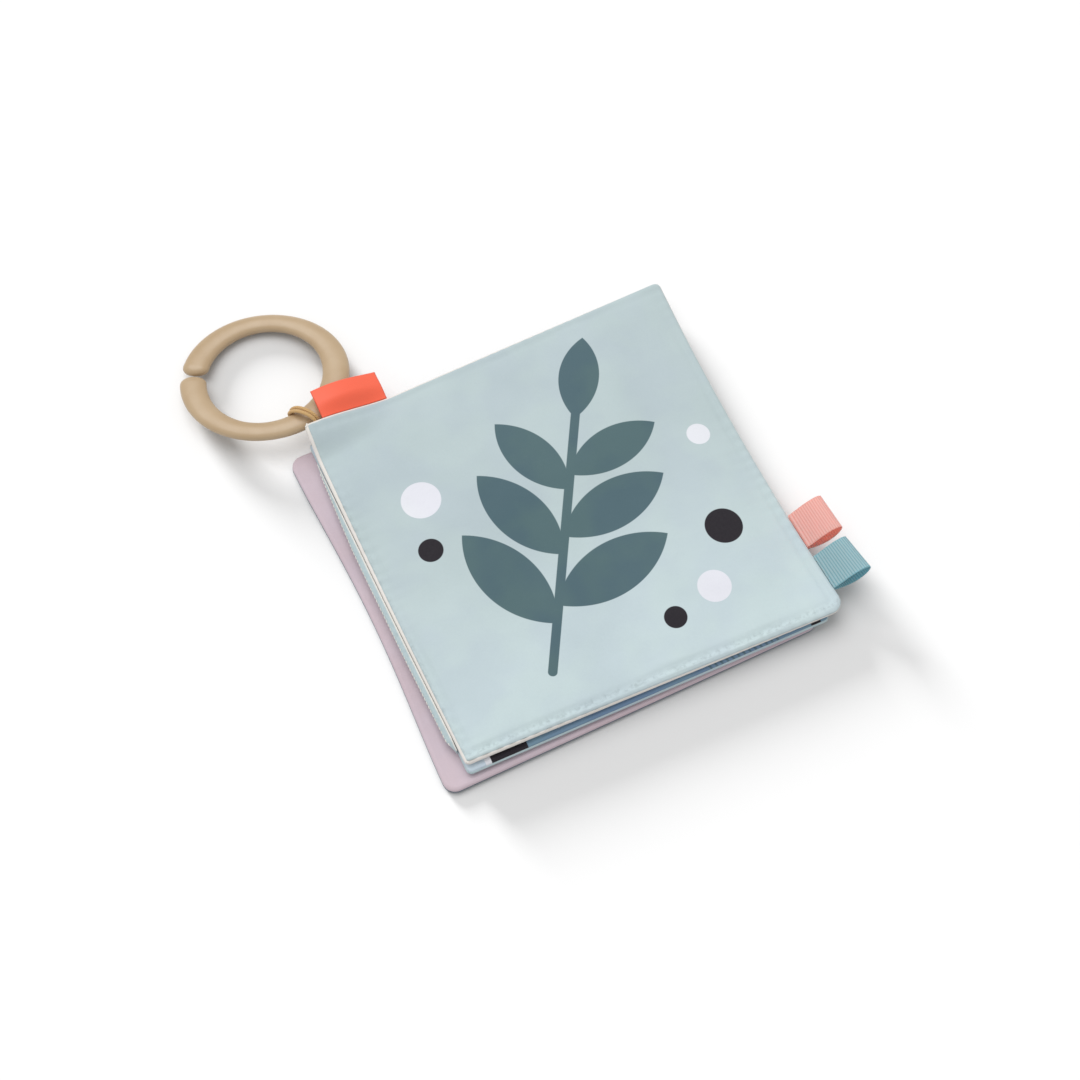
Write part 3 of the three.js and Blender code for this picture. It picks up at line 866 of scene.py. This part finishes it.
def ribbon_finish(name, colour, rib):
    """Grosgrain: round ribs across the ribbon with a fine warp over them, painted shade
    in their grooves and painted highlight on their crests, and a denser selvedge, with
    some light let through. u runs along the ribbon and v across it, both in millimetres."""
    f = Finish(name, Sheen_Weight=0.6, Sheen_Roughness=0.3)
    u, v, _ = f.parts(f.cloth_uv())
    ribs, warp = f.ridges(u, rib), f.ridges(v, 0.32)
    edge = f.stripes(v, RIBBON_WIDTH / 2, 0.5)
    fuzz = f.noise(f.mm, 2.5, 3.0)
    # Painted shade in the grooves between the ribs and warp threads and painted highlight
    # on their crests, mixed with a random fuzz.
    dark = tuple(0.7 * c**1.5 for c in colour)
    light = tuple(c + 0.5 * (1 - c) for c in colour)
    shade = f.times_plus(ribs, 0.62, f.times(fuzz, 0.26))
    shade = f.times_plus(warp, 0.26, shade)
    tone = f.mix(f.ramp(shade, 0.1, 0.9), dark, light)
    tone = f.mix(f.times(edge, 0.35), tone, colour)
    through = f.node("ShaderNodeBsdfTranslucent", tuple(c**2 for c in colour)).outputs[0]
    cloth = f.node("ShaderNodeMixShader", 0.45, f.shader.outputs[0], through).outputs[0]
    f.plug(f.found("OUTPUT_MATERIAL").inputs["Surface"], cloth)
    height = f.times_plus(warp, 0.2, ribs)
    return f.done(tone, f.bump(height, 0.1, 0.7), f.ramp(fuzz, 0.3, 0.7, 0.5, 0.66))


def satin_finish(name, colour):
    """Woven satin tape: long floats along it, a soft shine and a heat-cut edge."""
    f = Finish(name, Sheen_Weight=0.2, Roughness=0.5)
    uv = f.cloth_uv()
    _, v, _ = f.parts(uv)
    floats = f.noise(f.vector("MULTIPLY", uv, (0.8, 5.0, 1.0)), 1.6, 3.0)
    edge = f.stripes(v, LABEL_WIDTH / 2, 0.35)
    dark = tint(colour, 0.86)
    shade = f.times_plus(f.ridges(v, 0.28), 0.3, f.times(floats, 0.8))
    tone = f.mix(f.ramp(shade, 0.2, 0.8), dark, colour)
    tone = f.mix(f.times(edge, 0.5), tone, dark)
    return f.done(tone, f.bump(shade, 0.05, 0.5), f.ramp(floats, 0.3, 0.7, 0.42, 0.58))


def ring_finish(name, colour):
    """Matt moulded plastic in a pale wood tone: a soft sheen, faint flow marks, fine
    spark texture and a little handling shine."""
    f = Finish(name, Specular_IOR_Level=0.6, Coat_Weight=0.3, Coat_Roughness=0.22)
    flow = f.noise(f.vector("MULTIPLY", f.mm, (1.0, 1.0, 2.5)), 0.06, 3.0)
    spark = f.noise(f.mm, 2.4, 3.0, 0.7)
    handled = f.noise(f.mm, 0.14, 3.0)
    warm = tuple(c * k for c, k in zip(colour, (0.9, 0.86, 0.8)))
    pale = tuple(min(1.0, 1.1 * c) for c in colour)
    tone = f.mix(f.ramp(flow, 0.35, 0.7), colour, warm)
    tone = f.mix(f.ramp(spark, 0.6, 0.75), tone, pale)
    return f.done(tone, f.bump(spark, 0.05, 0.5), f.ramp(handled, 0.3, 0.7, 0.34, 0.46))


def fibre_finish(name):
    """Polyester wadding: tangled pale fibres."""
    f = Finish(name, Roughness=0.95, Sheen_Weight=0.4)
    tangle = f.noise(f.mm, 1.6, 6.0, 0.75)
    tone = f.mix(f.ramp(tangle, 0.35, 0.7), ink(214, 211, 204), ink(244, 243, 239))
    return f.done(tone, f.bump(tangle, 0.3, 0.9))


def film_finish(name):
    """Thin crackling film: clear and glossy, with pale stress lines at its creases."""
    f = Finish(name, Roughness=0.2, Transmission_Weight=0.55, IOR=1.45)
    stress = f.noise(f.mm, 0.5, 5.0, 0.7)
    tone = f.mix(f.ramp(stress, 0.45, 0.6), ink(226, 232, 236), ink(247, 249, 250))
    return f.done(tone, f.bump(stress, 0.15, 0.6))


def shared_finish(name, make, *values):
    """A material that several pieces use, made once."""
    return bpy.data.materials.get(name) or make(name, *values)


def sewing_thread(colours):
    return shared_finish("sewing_thread", thread_finish, tuple(colours.thread), 0.45)


# What a user would change


def measure(name, description, metres):
    return FloatProperty(
        name=name, description=description, default=metres, unit="LENGTH"
    )


def paint(name, description, red, green, blue):
    return FloatVectorProperty(
        name=name, description=description, subtype="COLOR", size=3, min=0.0, max=1.0,
        default=ink(red, green, blue),
    )


class BookSizes(bpy.types.PropertyGroup):
    cloth: measure("Cloth thickness", "Thickness of each leaf's two cloths", 0.0004)
    weave: measure("Weave pitch", "Distance between threads of the cloths", 0.00042)
    stitch: measure("Stitch pitch", "Distance from one stitch to the next", 0.0029)
    rib: measure("Rib pitch", "Distance between the ribs of the ribbon loops", 0.00085)
    tuck: measure("Tuck height", "Height of the tucks at the cover's seams", 0.00026)
    crease: measure("Crease depth", "Depth of the crease inside the cover's rim", 0.0006)
    ripple: measure("Ripple height", "Height of the cover's soft uneven folds", 0.00045)


class BookColours(bpy.types.PropertyGroup):
    cover_ground: paint("Cover", "Ground of the cover's cloth", 195, 211, 213)
    cover_print: paint("Sprig", "Leaves printed on the cover", 84, 110, 114)
    print_black: paint("Print black", "Black of the prints", 34, 30, 37)
    print_white: paint("Print white", "White of the prints", 232, 234, 240)
    cream: paint("Cream", "Inner cloth of the cover", 238, 233, 228)
    middle_blue: paint("Blue", "Upper cloth of the middle leaf", 122, 152, 172)
    middle_pale: paint("Pale blue", "Middle leaf's lower cloth; tapes", 190, 209, 213)
    bar_ground: paint("Bar ground", "Strip under the black bars", 203, 219, 230)
    back_pink: paint("Pink", "Upper cloth of the back leaf", 208, 192, 201)
    back_grey: paint("Grey blue", "Lower cloth of the back leaf", 104, 120, 132)
    coral: paint("Coral", "First ribbon loop", 255, 211, 197)
    teal: paint("Teal", "Second ribbon loop", 154, 219, 227)
    label: paint("Label", "Label tab", 255, 104, 71)
    ring: paint("Ring", "Link ring", 190, 165, 131)
    cord: paint("Cord", "Cord loop", 222, 181, 120)
    thread: paint("Thread", "Sewing thread, and the tapes' edge", 240, 237, 230)


# Pieces


class BookOperator:
    """What the operators share. Each makes its pieces in build()."""

    bl_options = {"REGISTER", "UNDO"}

    @classmethod
    def poll(cls, context):
        return context.scene is not None

    def execute(self, context):
        self.build(context.scene.book_sizes, context.scene.book_colours)
        return {"FINISHED"}


def leaf_insides(name, leaf, filmed, sizes, colours, phase):
    """A leaf's fillings and seam thread, in the spaces that the solids hold."""
    fibre = shared_finish("wadding_fibre", fibre_finish)
    room = FILM_ROOM if filmed else 0.0
    pad = wadding_pad(f"{name}_wadding_pad", leaf, room, fibre, phase)
    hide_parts(f"{name}_wadding")
    made = [pad]
    if filmed:
        clear = shared_finish("crinkle_film", film_finish)
        slot = f"{name}_crinkle_film"
        film = crinkle_sheet(f"{name}_film_sheet", leaf, clear, phase)
        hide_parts(f"{name}_crinkle_film")
        made.append(film)
    rings = swept(seam_route(leaf, sizes.stitch / MM), (0, 0, 1), SEAM_RADIUS, 6)
    quads = grid_quads(rings.shape[0], 6, True, True)
    stitches, slot = f"{name}_seam_stitches", f"{name}_seam_thread"
    thread = put_mesh(stitches, rings, quads, sewing_thread(colours))
    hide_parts(f"{name}_seam_thread")
    return [*made, thread]


def build_leaf(name, leaf, prints, filmed, relief, phase, sizes, colours):
    """Both cloths of a leaf and what lies between them, riding on the leaf's body.
    relief holds the heights of the ripples and tucks and the depth of the crease."""
    made = []
    for upper, word, print_of in zip((True, False), ("face", "lining"), prints):
        piece = f"{name}_{word}_cloth"
        finish = cloth_finish(piece, print_of, colours, sizes.weave / MM)
        heights = relief if upper else (0.0, *relief[1:])
        turn = phase if upper else phase + 1
        cloth = finish, f"{name}_{word}", heights, turn, sizes.cloth / MM
        obj = leaf_cloth(piece, leaf, upper, *cloth)
        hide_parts(f"{name}_{word}")
        made.append(obj)
    insides = leaf_insides(name, leaf, filmed, sizes, colours, phase)
    for obj in made + insides:
        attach(obj, name)


class BOOK_OT_front_leaf(BookOperator, bpy.types.Operator):
    """Front leaf: the printed cover cloth, its cream inner cloth and its fillings"""

    bl_idname = "activity_book.front_leaf"
    bl_label = "Front leaf"

    def build(self, sizes, colours):
        relief = sizes.ripple / MM, sizes.tuck / MM, sizes.crease / MM
        prints = cover_print, gingham
        build_leaf("front_leaf", FRONT, prints, True, relief, 0.4, sizes, colours)


class BOOK_OT_middle_leaf(BookOperator, bpy.types.Operator):
    """Middle leaf: the blue cloth with bars, the pale cloth under it, its filling"""

    bl_idname = "activity_book.middle_leaf"
    bl_label = "Middle leaf"

    def build(self, sizes, colours):
        relief = 0.06, 0.07, 0.08
        prints = bars_print, waves_print
        build_leaf("middle_leaf", MIDDLE, prints, False, relief, 1.7, sizes, colours)


class BOOK_OT_back_leaf(BookOperator, bpy.types.Operator):
    """Back leaf: the pink cloth with its dots, the grey-blue cloth under it, fillings"""

    bl_idname = "activity_book.back_leaf"
    bl_label = "Back leaf"

    def build(self, sizes, colours):
        relief = 0.06, 0.07, 0.12
        prints = large_dots, small_dots
        build_leaf("back_leaf", BACK, prints, True, relief, 2.9, sizes, colours)


def fold_edge(leaf, side):
    """A leaf's edge at u = side: its lowest and highest y, and x for any y."""
    _, bottom = plan(leaf, side, -1)
    _, top = plan(leaf, side, 1)

    def edge_x(y):
        v = (2 * y - bottom - top) / (top - bottom)
        return plan(leaf, np.full_like(y, side), v)[0]

    return float(bottom), float(top), edge_x


def fold_binding(name, leaf, side, fold_x, bodies, tape, thread, pitch):
    """The tape over a fold and its stitches. The tape bulges as B (1 - c^2) for c
    from -1 to 1 across it, and each stitch is a small slanting spindle."""
    bottom, top, edge_x = fold_edge(leaf, side)
    y = np.linspace(bottom + TAPE_ENDS[0], top - TAPE_ENDS[1], TAPE_GRID[0])
    c = np.linspace(-1, 1, TAPE_GRID[1])
    yy, cc = np.meshgrid(y, c, indexing="ij")
    at_corner = side < 0
    taper = TAPE_TAPER if at_corner else TAPE_END

    def centre_z(place):
        return leaf.below.high(np.full_like(place, fold_x), place) + LAY_GAP / 2

    def bulge_at(place):
        share = np.minimum((place - y[0]) / TAPE_END, (y[-1] - place) / taper)
        return np.minimum(1, share)

    def width_at(place):
        if not at_corner:
            return 1.0
        return 0.35 + 0.65 * np.minimum(1, (y[-1] - place) / TAPE_NARROWING)

    wave = 0.05 * np.sin(yy / 6.1 + np.sin(yy / 17)) * (1 - cc**2)
    tucked = TAPE_TUCK * np.maximum(0, cc) ** 2 * bulge_at(yy) if at_corner else 0.0
    out = SEAT + TAPE_OUT + FOLD_BULGE * (1 - cc * cc) * bulge_at(yy) + wave - tucked
    x = edge_x(yy) + side * out
    z = centre_z(yy) + TAPE_HALF * cc * width_at(yy) + 3.0 * tucked
    quads = grid_quads(len(y), len(c))[:, ::-side]
    uv = np.stack([yy, cc * 2], axis=-1)
    points = np.stack([x, yy, z], axis=-1)
    strip = put_mesh(f"{name}_tape", points, quads, tape, uv)
    wall(strip, TAPE_WALL)

    starts = np.arange(bottom + STITCH_ENDS[0], top - STITCH_ENDS[1], pitch)
    rings, sides = STITCH_GRID
    along = np.linspace(-1, 1, rings)[:, None]
    angle = np.arange(sides) * 2 * np.pi / sides
    thick = STITCH_RADIUS * np.sqrt(np.maximum(0, 1 - along**4))
    place = starts[:, None, None] + along * STITCH_HALF * pitch
    ring_y = place + 0 * angle
    bow = SEAT + STITCH_OUT + STITCH_BOW * (1 - along**2)
    bow = bow + STITCH_BULGE * FOLD_BULGE * bulge_at(place)
    ring_x = edge_x(ring_y) + side * bow + thick * np.cos(angle)
    rise = (STITCH_HEIGHT + STITCH_SLANT * along) * width_at(place)
    ring_z = centre_z(ring_y) + rise
    points = np.stack([ring_x, ring_y, ring_z + thick * np.sin(angle)], axis=-1)
    first = np.arange(len(starts)) * rings * sides
    quads = first[:, None, None] + grid_quads(rings, sides, False, True)
    stitches = put_mesh(f"{name}_stitches", points, quads[..., ::-1], thread)
    weld(stitches)
    middle = np.array((bottom + top) / 2)
    low = (edge_x(middle) * MM, middle * MM, (centre_z(middle) - 1.3) * MM)
    for obj, node in ((strip, "binding"), (stitches, "stitch")):
        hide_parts(f"{name}_{node}")
        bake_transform(obj)


FOLDS = (
    ("left_fold", FRONT, -1, -74.7, ("middle_leaf", "front_leaf")),
    ("right_fold", MIDDLE, 1, 67.5, ("back_leaf", "middle_leaf")),
)


class BOOK_OT_fold_bindings(BookOperator, bpy.types.Operator):
    """Tapes sewn over the two folds, with their stitches"""

    bl_idname = "activity_book.fold_bindings"
    bl_label = "Fold bindings"

    def build(self, sizes, colours):
        tape = tape_finish("binding_tape", colours.middle_pale, colours.thread, 0.7)
        for fold in FOLDS:
            fold_binding(*fold, tape, sewing_thread(colours), 0.6 * sizes.stitch / MM)


class BOOK_OT_link_ring(BookOperator, bpy.types.Operator):
    """Link ring: an oval bar bent into an open ring, wider at its mouth"""

    bl_idname = "activity_book.link_ring"
    bl_label = "Link ring"

    def build(self, sizes, colours):
        span = math.pi - (RING_GAP / 2 + RING_END) / RING_MEAN
        cap = np.linspace(np.pi / 2, 0, 11)[:-1]
        inner = np.linspace(-span, span, 321)
        end = span + np.sin(cap) * RING_END / RING_MEAN
        angle = np.concatenate([-end, inner, end[::-1]])
        scale = [np.cos(cap), np.ones(len(inner)), np.cos(cap)[::-1]]
        scale = np.concatenate(scale)[:, None]
        section = np.arange(RING_SIDES) * 2 * np.pi / RING_SIDES
        a = np.sign(np.cos(section)) * np.abs(np.cos(section)) ** RING_ROUNDNESS
        c = np.sign(np.sin(section)) * np.abs(np.sin(section)) ** RING_ROUNDNESS
        parting = 1 + PARTING_HEIGHT * np.exp(-((c / PARTING_WIDTH) ** 2)) * (a > 0)
        t = (angle + RING_MOUTH + math.pi)[:, None]
        width = RING_WIDTH + RING_SWELL * np.cos(2 * (t - RING_MOUTH))
        radius = RING_HOLE + width * (1 + scale * (a * parting)) / 2
        x, y = radius * np.cos(t), radius * np.sin(t)
        z = scale * c * RING_HEIGHT / 2
        cos, sin = math.cos(RING_TILT), math.sin(RING_TILT)
        y, z = y * cos + z * sin + RING_CENTRE[1], z * cos - y * sin + RING_Z
        points = np.stack([x + RING_CENTRE[0], y, z], axis=-1)
        quads = grid_quads(len(angle), RING_SIDES, False, True)[:, ::-1]
        finish = ring_finish("moulded_ring", tuple(colours.ring))
        ring = put_mesh("moulded_link_ring", points, quads, finish)
        weld(ring)
        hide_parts("link_ring")
        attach(ring, "ring")


class BOOK_OT_cord_loop(BookOperator, bpy.types.Operator):
    """Cord loop: two strands of twisted cord from the seam round the ring's tube"""

    bl_idname = "activity_book.cord_loop"
    bl_label = "Cord loop"

    def build(self, sizes, colours):
        along = np.array([math.cos(CORD_HEADING), math.sin(CORD_HEADING), 0])
        aside = np.array([-along[1], along[0], 0])
        root = np.array([*CORD_ROOT, 0.0])
        centre = root + along * TUBE_ALONG
        slope = math.tan(RING_TILT)
        centre[2] = RING_Z + (RING_CENTRE[1] - centre[1]) * slope
        t = np.linspace(0, 2 * np.pi, 260, endpoint=False)
        clear = CORD_CLEARANCE + CORD_RADIUS
        reach = (TUBE_HALF + clear) * np.cos(t)
        towards = np.maximum(0, np.cos(t - CORD_ROOM_AT)) ** 8
        rise = (RING_HEIGHT / 2 + clear) * np.sin(t) - reach * along[1] * slope
        rise = rise + CORD_ROOM * towards + CORD_ARCH * np.maximum(0, np.sin(t)) ** 2
        line = centre + reach[:, None] * along + rise[:, None] * np.array([0, 0, 1.0])
        ahead = np.roll(line, -1, axis=0) - np.roll(line, 1, axis=0)
        ahead /= np.linalg.norm(ahead, axis=1, keepdims=True)
        up = np.cross(ahead, aside)
        plies = []
        for strand in (-1, 1):
            for ply in (0, 1, 2):
                turn = CORD_TWISTS * t * strand + ply * 2 * np.pi / 3
                curl = np.cos(turn)[:, None] * aside + np.sin(turn)[:, None] * up
                route = line + strand * CORD_ASIDE * aside + PLY_ASIDE * curl
                plies.append(swept(route, aside, PLY_RADIUS, PLY_SIDES))
        first = np.arange(len(plies)) * len(t) * PLY_SIDES
        quads = first[:, None, None] + grid_quads(len(t), PLY_SIDES, True, True)
        finish = thread_finish("cotton_cord", tuple(colours.cord), 0.35)
        cord = put_mesh("twisted_cord_loop", np.stack(plies), quads, finish)
        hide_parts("ring_cord_loop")
        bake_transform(cord)


def loop_grid(length, bulges, root, count, columns):
    """A sewn loop seen from its side, from its lower root round its end to its upper
    root: x = L (1 - cos a) / 2, z = bulge sin a sin(a/2) + root (1 - x/L) on each ply.
    Gives grids of x, of the share across the loop, of z and of the length run along
    it, and those lengths once more as a row."""
    a = np.linspace(0, np.pi, count)
    x = length * (1 - np.cos(a)) / 2
    shape, rest = np.sin(a) * np.sin(a / 2), root * (1 - x / length)
    lower, upper = (bulge * shape + rest for bulge in bulges)
    path = np.concatenate([np.stack([x, -lower], -1), np.stack([x, upper], -1)[-2::-1]])
    steps = np.hypot(*np.diff(path, axis=0).T)
    run = np.concatenate([[0], np.cumsum(steps)])
    even = np.linspace(0, run[-1], 2 * count - 1)
    x, lift = (np.interp(even, run, path[:, k]) for k in (0, 1))
    x, s = np.meshgrid(x, np.linspace(0, 1, columns), indexing="ij")
    return x, s, lift[:, None] + 0 * s, even[:, None] + 0 * s, even


class BOOK_OT_ribbon_loops(BookOperator, bpy.types.Operator):
    """Ribbon loops: two loops of grosgrain in the cover's free side"""

    bl_idname = "activity_book.ribbon_loops"
    bl_label = "Ribbon loops"

    def build(self, sizes, colours):
        for word, centre, near, far in RIBBONS:
            colour = tuple(getattr(colours, word))
            finish = ribbon_finish(f"{word}_grosgrain", colour, sizes.rib / MM)
            length = (near + far) / 2
            x, s, lift, along, run = loop_grid(length, RIBBON_BULGE, RIBBON_ROOT, 120, 37)
            spot = centre + RIBBON_WIDTH * (0.5 - s)
            v = (spot - FRONT.centre[1]) / (FRONT.half[1] + FRONT_GATHER)
            edge = plan(FRONT, np.ones_like(v), v)[0]
            flat_far, flat_near = edge[:, :1], edge[:, -1:]
            edge = flat_far + (flat_near - flat_far) * s + SEAT + RIBBON_ROOT
            out = x * (far + (near - far) * s) / length
            tuck = RIBBON_SEWN * np.exp(-x / SEWN_REACH)
            height = FRONT.rim(edge, spot) + lift + RIBBON_RISE * x / length
            points = np.stack([edge + out - tuck, spot, height], axis=-1)
            uv = np.stack([along, s * RIBBON_WIDTH], axis=-1)
            quads = grid_quads(*x.shape)
            node = f"{word}_ribbon_loop"
            ribbon = put_mesh(f"{word}_grosgrain_loop", points, quads, finish, uv)
            wall(ribbon, RIBBON_THICKNESS - 0.05)
            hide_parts(node)
            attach(ribbon, f"{word}_ribbon")


class BOOK_OT_label_tab(BookOperator, bpy.types.Operator):
    """Label tab: a bare folded satin tape in the cover's top seam"""

    bl_idname = "activity_book.label_tab"
    bl_label = "Label tab"

    def build(self, sizes, colours):
        root = LABEL_THICKNESS + LABEL_OPENING / 2
        bulges = LABEL_OPENING, LABEL_OPENING
        x, s, lift, along, _ = loop_grid(LABEL_LENGTH, bulges, root, 60, 65)
        spot = LABEL_LEFT + LABEL_WIDTH * s
        edge = FRONT.y(spot / FRONT.half[0], np.ones_like(spot)) + SEAT + root
        on_ring = LABEL_END + (1 - LABEL_END) * np.sin(s * np.pi)
        up = np.sin(np.minimum(1, 2 * x / LABEL_LENGTH) * np.pi / 2)
        tuck = LABEL_SEWN * np.exp(-x / SEWN_REACH)
        height = FRONT.rim(spot, edge) + LABEL_RISE * on_ring * up + lift
        points = np.stack([spot, edge + x - tuck, height], axis=-1)
        uv = np.stack([along, s * LABEL_WIDTH], axis=-1)
        quads = grid_quads(*x.shape)[:, ::-1]
        finish = satin_finish("label_satin", tuple(colours.label))
        label = put_mesh("satin_label_tab", points, quads, finish, uv)
        wall(label, LABEL_THICKNESS - 0.05)
        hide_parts("label_tab")
        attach(label, "label")


# Stage


def sun(name, towards, width_degrees, strength):
    """A wide soft light from far away, from the direction given."""
    data = bpy.data.lights.new(name, "SUN")
    data.angle = math.radians(width_degrees)
    data.energy = strength
    obj = bpy.data.objects.new(name, data)
    obj.location = towards
    obj.rotation_euler = Vector(towards).to_track_quat("Z", "Y").to_euler()
    bpy.context.scene.collection.objects.link(obj)
    return obj


def floor_finish():
    """Pale paper, shown to the camera in a lighter tone than the one that lights the
    object from below."""
    f = Finish("pale_floor", Roughness=0.9, Specular_IOR_Level=0.0)
    path = f.node("ShaderNodeLightPath").outputs
    seen = f.math("MAXIMUM", path["Is Camera Ray"], path["Is Glossy Ray"])
    seen = f.math("MAXIMUM", seen, path["Is Transmission Ray"])
    grain = f.ramp(f.noise(f.place, 30.0, 2.0), 0.3, 0.7)
    plain = f.mix(grain, (0.49, 0.49, 0.49), (0.50, 0.50, 0.50))
    return f.done(f.mix(seen, plain, (0.685, 0.685, 0.685)))


def soft_room():
    """A white room, whose light is weaker than its look to the camera."""
    world = bpy.data.worlds.new("soft_room")
    world.use_nodes = True
    w = Nodes(world.node_tree)
    w.tree.nodes.clear()
    path = w.node("ShaderNodeLightPath").outputs
    seen = w.math("MAXIMUM", path["Is Camera Ray"], path["Is Transmission Ray"])
    strength = w.ramp(seen, 0.0, 1.0, 0.60, 1.0)
    back = w.node("ShaderNodeBackground", (1, 1, 1), strength)
    w.node("ShaderNodeOutputWorld", back.outputs[0])
    return world


class BOOK_OT_stage(BookOperator, bpy.types.Operator):
    """Stage: a pale floor, soft lamps and the camera at the photograph's angle"""

    bl_idname = "activity_book.stage"
    bl_label = "Stage"

    def build(self, sizes, colours):
        ends = [-FLOOR_HALF, FLOOR_HALF]
        corners = np.stack(np.meshgrid(ends, ends, [-0.05], indexing="ij"), -1)
        floor = put_mesh("floor", corners, grid_quads(2, 2)[:, ::-1], floor_finish())
        only_floor = bpy.data.collections.new("only_floor")
        only_floor.objects.link(floor)
        scene = bpy.context.scene
        scene.world = soft_room()
        sun("key_light", (-0.06, 0.41, 0.91), 54.0, 1.58)
        low = sun("floor_light", (-0.163, 0.947, 0.276), 17.0, 5.1)
        low.light_linking.receiver_collection = only_floor

        camera = bpy.data.cameras.new("camera")
        camera.sensor_width = 36.0
        camera.lens = 77.87
        camera.clip_start, camera.clip_end = 0.01, 20
        eye = bpy.data.objects.new("camera", camera)
        eye.location = (-0.1708, -0.3386, 0.7716)
        eye.rotation_euler = (math.radians(25.78), 0.0, math.radians(-25.21))
        scene.collection.objects.link(eye)
        scene.camera = eye
        scene.view_settings.view_transform = "Standard"


class BOOK_PT_panel(bpy.types.Panel):
    """Lists the pieces, sizes and colours of the cloth activity book"""

    bl_idname = "BOOK_PT_panel"
    bl_label = "Activity book"
    bl_space_type = "VIEW_3D"
    bl_region_type = "UI"
    bl_category = "Activity book"

    def draw(self, context):
        for operator in OPERATORS:
            self.layout.operator(operator.bl_idname)
        for group in (context.scene.book_sizes, context.scene.book_colours):
            for name in group.__annotations__:
                self.layout.prop(group, name)


OPERATORS = (
    BOOK_OT_stage,
    BOOK_OT_front_leaf,
    BOOK_OT_middle_leaf,
    BOOK_OT_back_leaf,
    BOOK_OT_fold_bindings,
    BOOK_OT_link_ring,
    BOOK_OT_cord_loop,
    BOOK_OT_label_tab,
    BOOK_OT_ribbon_loops,
)
CLASSES = (BookSizes, BookColours, *OPERATORS, BOOK_PT_panel)


def register():
    for item in CLASSES:
        bpy.utils.register_class(item)
    bpy.types.Scene.book_sizes = PointerProperty(type=BookSizes)
    bpy.types.Scene.book_colours = PointerProperty(type=BookColours)


def unregister():
    del bpy.types.Scene.book_colours
    del bpy.types.Scene.book_sizes
    for item in reversed(CLASSES):
        bpy.utils.unregister_class(item)


def main():
    register()
    for step in (
        bpy.ops.activity_book.stage,
        bpy.ops.activity_book.front_leaf,
        bpy.ops.activity_book.middle_leaf,
        bpy.ops.activity_book.back_leaf,
        bpy.ops.activity_book.fold_bindings,
        bpy.ops.activity_book.link_ring,
        bpy.ops.activity_book.cord_loop,
        bpy.ops.activity_book.label_tab,
        bpy.ops.activity_book.ribbon_loops,
    ):
        step()
    bpy.context.view_layer.update()


if __name__ == "__main__":
    main()
